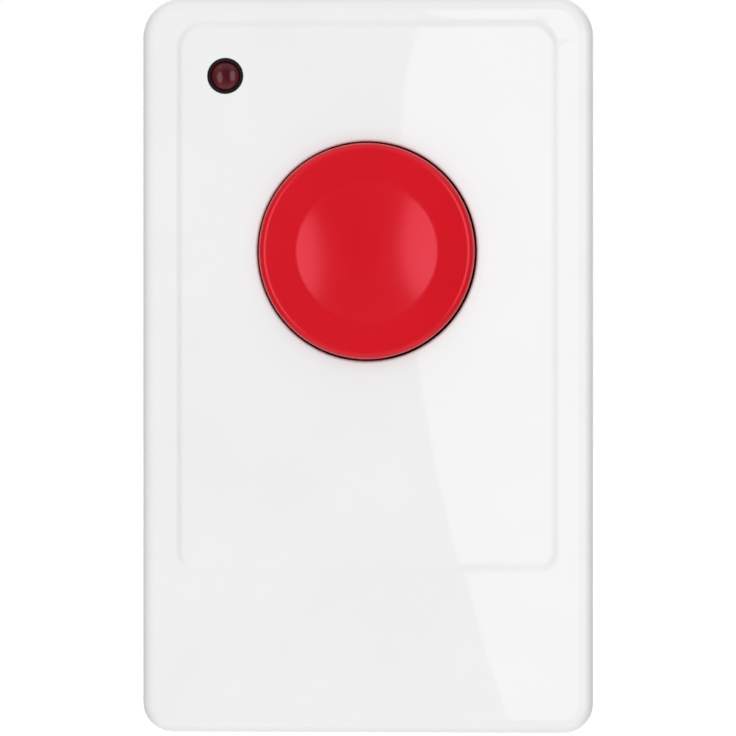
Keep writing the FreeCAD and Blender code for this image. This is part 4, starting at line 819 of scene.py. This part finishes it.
# Front cover: one glossy white ABS moulding with a raised panel whose edge swells
# out of the face, rounded holes for button and lamp, and behind it the frame that
# guides the button, posts and pegs for the board, and two bosses for the screws.
HALF_WIDTH = 24.5 * MM
HALF_HEIGHT = 40.0 * MM
PARTING_DEPTH = 7.5 * MM
TOP_CORNER = 4.4 * MM
BOTTOM_CORNER = 3.3 * MM
EDGE_ROUND = 1.5 * MM
SIDE_WALL = 1.8 * MM
LIP_WALL = 0.9 * MM
LIP_DEPTH = 8.8 * MM
PANEL_HALF_WIDTH = 20.85 * MM
PANEL_TOP = 37.45 * MM
PANEL_BOTTOM = -22.4 * MM
PANEL_TOP_CORNER = 3.1 * MM
PANEL_BOTTOM_CORNER = 2.1 * MM
PANEL_RISE = 0.4 * MM
PANEL_SLOPE = 0.9 * MM
PANEL_DEPTH = CASE_DEPTH + PANEL_RISE
PANEL_STEPS = 8
HOLE_RADIUS = 11.9 * MM
HOLE_ROUND = 0.3 * MM
HOLE_STEPS = 6
HOLE_SEGMENTS = 144
LAMP_HOLE_RADIUS = 1.95 * MM
LAMP_HOLE_ROUND = 0.12 * MM
LAMP_HOLE_STEPS = 4
LAMP_HOLE_SEGMENTS = 48
FACE_RIM = 0.06 * MM
CORNER_STEPS = 16
ROUND_STEPS = 12
GUIDE_INNER = 13.3 * MM
GUIDE_OUTER = 14.5 * MM
GUIDE_REAR = 12.8 * MM
NOTCH_HALF = 1.15 * MM
POST_X = 17.5 * MM
POST_SPAN = 25.0 * MM
POST_HALF = 1.5 * MM
POST_REAR = 11.0 * MM
PEG_HALF = 0.7 * MM
PEG_REAR = 9.6 * MM
BOSS_X = 20.1 * MM
BOSS_UP = -13.3 * MM
BOSS_RADIUS = 2.9 * MM
PILOT_RADIUS = 1.12 * MM
PILOT_END = 14.8 * MM
BOSS_SEGMENTS = 48


def draw_outline(mesh, half_width, bottom, top, bottom_corner, top_corner, depth):
    """The edges of an upright rectangle with rounded corners, that far from the wall."""
    corners = [
        mesh.verts.new((x, -depth, z))
        for x, z in (
            (-half_width, bottom), (half_width, bottom), (half_width, top), (-half_width, top),
        )
    ]
    mesh.faces.new(corners)
    for vertices, radius in ((corners[:2], bottom_corner), (corners[2:], top_corner)):
        bmesh.ops.bevel(
            mesh, geom=vertices, offset=radius, segments=CORNER_STEPS, profile=0.5,
            affect="VERTICES", material=-1,
        )
    plate = next(
        face for face in mesh.faces if all(len(edge.link_faces) == 1 for edge in face.edges)
    )
    edges = list(plate.edges)
    bmesh.ops.delete(mesh, geom=[plate], context="FACES_ONLY")
    return edges


def case_outline(mesh, inset, depth):
    """The outline of the case, drawn in by some distance all round."""
    return draw_outline(
        mesh, HALF_WIDTH - inset, inset - HALF_HEIGHT, HALF_HEIGHT - inset,
        BOTTOM_CORNER - inset, TOP_CORNER - inset, depth,
    )


def sink_hole(mesh, x, up, radius, rounding, steps, segments):
    """Draws a hole with a rounded rim in the panel, and gives its front and rear edges."""
    profile = [(radius + rounding + FACE_RIM, PANEL_DEPTH)]
    for step in range(steps + 1):
        turn = math.pi / 2 * step / steps
        profile.append((
            radius + rounding * (1 - math.sin(turn)),
            PANEL_DEPTH - rounding * (1 - math.cos(turn)),
        ))
    profile.append((radius, INNER_DEPTH))
    front = draw_circle(mesh, x, up, profile[0][0], PANEL_DEPTH, segments)
    edges = front
    for (old_radius, old_depth), (new_radius, new_depth) in zip(profile, profile[1:]):
        edges = draw_on(
            mesh, edges, move=(0.0, old_depth - new_depth, 0.0), factor=new_radius / old_radius,
            centre=(x, up),
        )
    return front, edges


cover = bmesh.new()
seam = case_outline(cover, 0.0, PARTING_DEPTH)
face_edges = draw_on(cover, seam, move=(0.0, PARTING_DEPTH - CASE_DEPTH, 0.0))
bmesh.ops.contextual_create(cover, geom=face_edges)
bmesh.ops.bevel(
    cover, geom=face_edges, offset=EDGE_ROUND, segments=ROUND_STEPS, profile=0.5,
    affect="EDGES", material=-1,
)
face = max(cover.faces, key=lambda item: len(item.verts))
bmesh.ops.inset_region(cover, faces=[face], thickness=FACE_RIM, depth=0.0)
face_edges = list(face.edges)
bmesh.ops.delete(cover, geom=[face], context="FACES_ONLY")
panel_edges = draw_outline(
    cover, PANEL_HALF_WIDTH, PANEL_BOTTOM, PANEL_TOP, PANEL_BOTTOM_CORNER, PANEL_TOP_CORNER,
    CASE_DEPTH,
)
bmesh.ops.triangle_fill(
    cover, use_beauty=True, edges=face_edges + panel_edges, normal=(0.0, -1.0, 0.0)
)
panel = bmesh.ops.contextual_create(cover, geom=panel_edges)["faces"][0]
bmesh.ops.recalc_face_normals(cover, faces=cover.faces)
if panel.normal.y > 0:
    panel.normal_flip()
risen = 0.0
for step in range(1, PANEL_STEPS + 1):
    share = step / PANEL_STEPS
    height = PANEL_RISE * share * share * (3 - 2 * share)
    bmesh.ops.inset_region(
        cover, faces=[panel], thickness=PANEL_SLOPE / PANEL_STEPS, depth=height - risen,
    )
    risen = height
bmesh.ops.inset_region(cover, faces=[panel], thickness=FACE_RIM, depth=0.0)
panel_edges = list(panel.edges)
bmesh.ops.delete(cover, geom=[panel], context="FACES_ONLY")
button_front, button_rear = sink_hole(
    cover, 0.0, BUTTON_UP, HOLE_RADIUS, HOLE_ROUND, HOLE_STEPS, HOLE_SEGMENTS
)
lamp_front, lamp_rear = sink_hole(
    cover, LAMP_X, LAMP_UP, LAMP_HOLE_RADIUS, LAMP_HOLE_ROUND, LAMP_HOLE_STEPS,
    LAMP_HOLE_SEGMENTS,
)
bmesh.ops.triangle_fill(
    cover, use_beauty=True, edges=panel_edges + button_front + lamp_front,
    normal=(0.0, -1.0, 0.0),
)
lip_edges = case_outline(cover, LIP_WALL, PARTING_DEPTH)
bmesh.ops.bridge_loops(cover, edges=seam + lip_edges)
bmesh.ops.bevel(
    cover, geom=seam, offset=SOFT_EDGE, segments=SOFT_EDGE_STEPS, profile=0.5,
    affect="EDGES", material=-1,
)
lip_edges = draw_on(cover, lip_edges, move=(0.0, PARTING_DEPTH - LIP_DEPTH, 0.0))
inner_edges = case_outline(cover, SIDE_WALL, LIP_DEPTH)
bmesh.ops.bridge_loops(cover, edges=lip_edges + inner_edges)
inner_edges = draw_on(cover, inner_edges, move=(0.0, LIP_DEPTH - INNER_DEPTH, 0.0))
bmesh.ops.triangle_fill(
    cover, use_beauty=True, edges=inner_edges + button_rear + lamp_rear, normal=(0.0, 1.0, 0.0)
)
bmesh.ops.recalc_face_normals(cover, faces=cover.faces)

rooted = INNER_DEPTH + EMBED
for quarter in range(4):
    turned = at_button @ Matrix.Rotation(quarter * math.pi / 2, 4, "Y")
    if quarter % 2 == 0:
        for low, high in ((-GUIDE_OUTER, -NOTCH_HALF), (NOTCH_HALF, GUIDE_OUTER)):
            add_block(cover, (GUIDE_INNER, GUIDE_REAR, low), (GUIDE_OUTER, rooted, high), turned)
    else:
        add_block(
            cover, (GUIDE_INNER, GUIDE_REAR, -GUIDE_INNER), (GUIDE_OUTER, rooted, GUIDE_INNER),
            turned,
        )
for side in (1, -1):
    for end in (1, -1):
        post = Matrix.Translation((side * POST_X, 0.0, BUTTON_UP + end * POST_SPAN / 2))
        add_block(
            cover, (-POST_HALF, POST_REAR, -POST_HALF), (POST_HALF, rooted, POST_HALF), post
        )
        if side == end:
            add_block(
                cover, (-PEG_HALF, PEG_REAR, -PEG_HALF), (PEG_HALF, POST_REAR + EMBED, PEG_HALF),
                post,
            )
    turn_profile(
        cover,
        [
            (0.0, PILOT_END), (PILOT_RADIUS, PILOT_END), (PILOT_RADIUS, LIP_DEPTH + STAND_BACK),
            (BOSS_RADIUS, LIP_DEPTH + STAND_BACK), (BOSS_RADIUS, rooted), (0.0, rooted),
        ],
        BOSS_SEGMENTS, Matrix.Translation((side * BOSS_X, 0.0, BOSS_UP)),
    )
glossy_white = add_finish(
    "glossy_white", dark=(0.866, 0.868, 0.872), light=(0.882, 0.884, 0.888), patch=90.0,
    roughness=(0.34, 0.38), grain=2600.0, relief=0.0015 * MM,
    coat_weight=0.5, coat_roughness=0.012, specular_ior_level=0.3,
)
cover_front = add_piece(
    "cover_front", cover, "housing", "front_cover", glossy_white
)
even_shading(cover_front)


# Case screws: two zinc-plated cross-head screws, driven from the rear into the
# bosses of the front cover.
zinc = add_finish(
    "zinc_plate", dark=(0.50, 0.51, 0.53), light=(0.64, 0.65, 0.67), patch=600.0,
    roughness=(0.24, 0.38), grain=2000.0, relief=0.004 * MM, metallic=1.0,
)
soften_node("case_screws", "closing_screws", "housing", zinc, edge=0.06 * MM)


# Floor and light: a plain pale floor, low enough for the battery door to slide
# off, in a white surround that is dimmer to the sides, above and below. Two tall
# soft boxes mirror in the dish and the lamp, a third in the right-hand edges of the
# white face, and a curved card beside the camera in the face itself.
FLOOR_DROP = 20.05 * MM
FLOOR_SPAN = 3.0
FLOOR_GLOW = 0.345
SOFT_BOX_DISTANCE = 700 * MM
CARD_RIGHT = 40 * MM
CARD_CUTS = 3
CARD_GLOW = 2.5
SURROUND_LEVEL = 1.642
SURROUND_ASIDE = 0.3
FADE_REACH = (0.2, 0.9)
WEIGHT_ABOVE = 0.665
WEIGHT_BELOW = -0.6
MIRRORED_REACH = (-0.93, -0.45)
MIRRORED_LOSS = 0.9

floor_mesh = bmesh.new()
bmesh.ops.create_grid(floor_mesh, x_segments=1, y_segments=1, size=FLOOR_SPAN)
bmesh.ops.translate(floor_mesh, vec=(0.0, 0.0, -HALF_HEIGHT - FLOOR_DROP), verts=floor_mesh.verts)
floor_data = bpy.data.meshes.new("floor")
floor_mesh.to_mesh(floor_data)
floor_mesh.free()
floor_data.materials.append(add_finish(
    "pale_floor", dark=(0.80, 0.80, 0.80), light=(0.82, 0.82, 0.82), patch=3.0,
    roughness=(0.8, 0.9), grain=200.0, relief=0.02 * MM,
    emission_color=(1.0, 1.0, 1.0, 1.0), emission_strength=FLOOR_GLOW,
))
floor = bpy.data.objects.new("floor", floor_data)
floor.visible_diffuse = False
floor.visible_glossy = False
bpy.context.scene.collection.objects.link(floor)
floor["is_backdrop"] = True


def light_only(source, lit):
    """Lets a light or a glowing card reach only some pieces."""
    reached = bpy.data.collections.new(source.name + "_reach")
    for piece in lit:
        reached.objects.link(piece)
    source.light_linking.receiver_collection = reached


def add_soft_box(name, azimuth, elevation, width, height, power, lit):
    """A soft light on some pieces, that looks at the case from a direction in degrees."""
    across, rise = math.radians(azimuth), math.radians(elevation)
    towards = Vector((
        math.sin(across) * math.cos(rise), -math.cos(across) * math.cos(rise), math.sin(rise)
    ))
    data = bpy.data.lights.new(name, "AREA")
    data.shape = "ELLIPSE"
    data.size = width
    data.size_y = height
    data.energy = power
    light = bpy.data.objects.new(name, data)
    light.location = AIM + towards * SOFT_BOX_DISTANCE
    light.rotation_euler = towards.to_track_quat("Z", "Y").to_euler()
    light.visible_camera = False
    bpy.context.scene.collection.objects.link(light)
    light_only(light, lit)
    return light


add_soft_box(
    "right_box", azimuth=33.0, elevation=5.0, width=330 * MM, height=700 * MM, power=1.4,
    lit=(button, lens, sleeve),
)
add_soft_box(
    "left_box", azimuth=-33.0, elevation=-1.0, width=330 * MM, height=680 * MM, power=1.4,
    lit=(button, lens, sleeve),
)
side_box = add_soft_box(
    "side_box", azimuth=42.0, elevation=0.0, width=640 * MM, height=500 * MM, power=1.2,
    lit=(cover_front,),
)
side_box.visible_diffuse = False

# The card's curved edge mirrors in the face as the border of its brighter half.
card_mesh = bmesh.new()
card_edge = [
    card_mesh.verts.new((x * MM, -CASE_DEPTH - CAMERA_DISTANCE, z * MM))
    for x, z in (
        (21.0, 130.0), (1.0, 104.0), (-10.5, 83.0), (-16.0, 64.0), (-17.5, 45.0), (-16.0, 20.0),
        (-12.7, -5.0), (-9.0, -25.0), (-4.0, -45.0), (2.0, -65.0), (9.5, -86.0), (23.0, -120.0),
    )
]
for pair in zip(card_edge, card_edge[1:]):
    card_mesh.edges.new(pair)
bmesh.ops.subdivide_edges(card_mesh, edges=card_mesh.edges, cuts=CARD_CUTS, smooth=1.0)
grown = bmesh.ops.extrude_edge_only(card_mesh, edges=card_mesh.edges)["geom"]
for item in grown:
    if isinstance(item, bmesh.types.BMVert):
        item.co.x = CARD_RIGHT
card_data = bpy.data.meshes.new("card")
card_mesh.to_mesh(card_data)
card_mesh.free()
card_white = bpy.data.materials.new("card_white")
card_white.use_nodes = True
tree = card_white.node_tree
glow = add_node(tree, "ShaderNodeEmission", Strength=CARD_GLOW)
tree.links.new(glow.outputs["Emission"], tree.nodes["Material Output"].inputs["Surface"])
card_data.materials.append(card_white)
card = bpy.data.objects.new("card", card_data)
card.visible_camera = False
card.visible_shadow = False
bpy.context.scene.collection.objects.link(card)
light_only(card, (cover_front,))
card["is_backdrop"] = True

world = bpy.data.worlds.new("surround")
bpy.context.scene.world = world
world.use_nodes = True
tree = world.node_tree
surround = tree.nodes["Background"]
surround.inputs["Color"].default_value = (1.0, 1.0, 1.0, 1.0)
backdrop = add_node(tree, "ShaderNodeBackground", Color=(1.0, 1.0, 1.0, 1.0), Strength=1.0)
rays = add_node(tree, "ShaderNodeLightPath")
choice = add_node(tree, "ShaderNodeMixShader")
place = add_node(tree, "ShaderNodeTexCoord")
split = add_node(tree, "ShaderNodeSeparateXYZ")
aside = add_node(tree, "ShaderNodeMath", operation="ABSOLUTE")
above = add_node(tree, "ShaderNodeMath", operation="MULTIPLY")
above.inputs[1].default_value = WEIGHT_ABOVE
below = add_node(tree, "ShaderNodeMath", operation="MULTIPLY")
below.inputs[1].default_value = WEIGHT_BELOW
upright = add_node(tree, "ShaderNodeMath", operation="MAXIMUM")
widest = add_node(tree, "ShaderNodeMath", operation="MAXIMUM")
fade = add_node(
    tree, "ShaderNodeMapRange", interpolation_type="SMOOTHSTEP",
    From_Min=FADE_REACH[0], From_Max=FADE_REACH[1],
    To_Min=SURROUND_LEVEL, To_Max=SURROUND_ASIDE,
)
# Mirrored rays find the surround dark in front, where the studio is.
front = add_node(
    tree, "ShaderNodeMapRange", interpolation_type="SMOOTHSTEP",
    From_Min=MIRRORED_REACH[0], From_Max=MIRRORED_REACH[1],
    To_Min=MIRRORED_LOSS, To_Max=0.0,
)
mirrored = add_node(tree, "ShaderNodeMath", operation="MULTIPLY")
left_over = add_node(tree, "ShaderNodeMath", operation="SUBTRACT")
left_over.inputs[0].default_value = 1.0
strength = add_node(tree, "ShaderNodeMath", operation="MULTIPLY")
for source, target in (
    (place.outputs["Generated"], split.inputs["Vector"]),
    (split.outputs["X"], aside.inputs[0]),
    (split.outputs["Z"], above.inputs[0]),
    (split.outputs["Z"], below.inputs[0]),
    (above.outputs["Value"], upright.inputs[0]),
    (below.outputs["Value"], upright.inputs[1]),
    (aside.outputs["Value"], widest.inputs[0]),
    (upright.outputs["Value"], widest.inputs[1]),
    (widest.outputs["Value"], fade.inputs["Value"]),
    (split.outputs["Y"], front.inputs["Value"]),
    (front.outputs["Result"], mirrored.inputs[0]),
    (rays.outputs["Is Glossy Ray"], mirrored.inputs[1]),
    (mirrored.outputs["Value"], left_over.inputs[1]),
    (fade.outputs["Result"], strength.inputs[0]),
    (left_over.outputs["Value"], strength.inputs[1]),
    (strength.outputs["Value"], surround.inputs["Strength"]),
    (rays.outputs["Is Camera Ray"], choice.inputs["Fac"]),
    (surround.outputs["Background"], choice.inputs[1]),
    (backdrop.outputs["Background"], choice.inputs[2]),
    (choice.outputs["Shader"], tree.nodes["World Output"].inputs["Surface"]),
):
    tree.links.new(source, target)

bpy.context.scene.view_settings.view_transform = "Standard"

low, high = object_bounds()
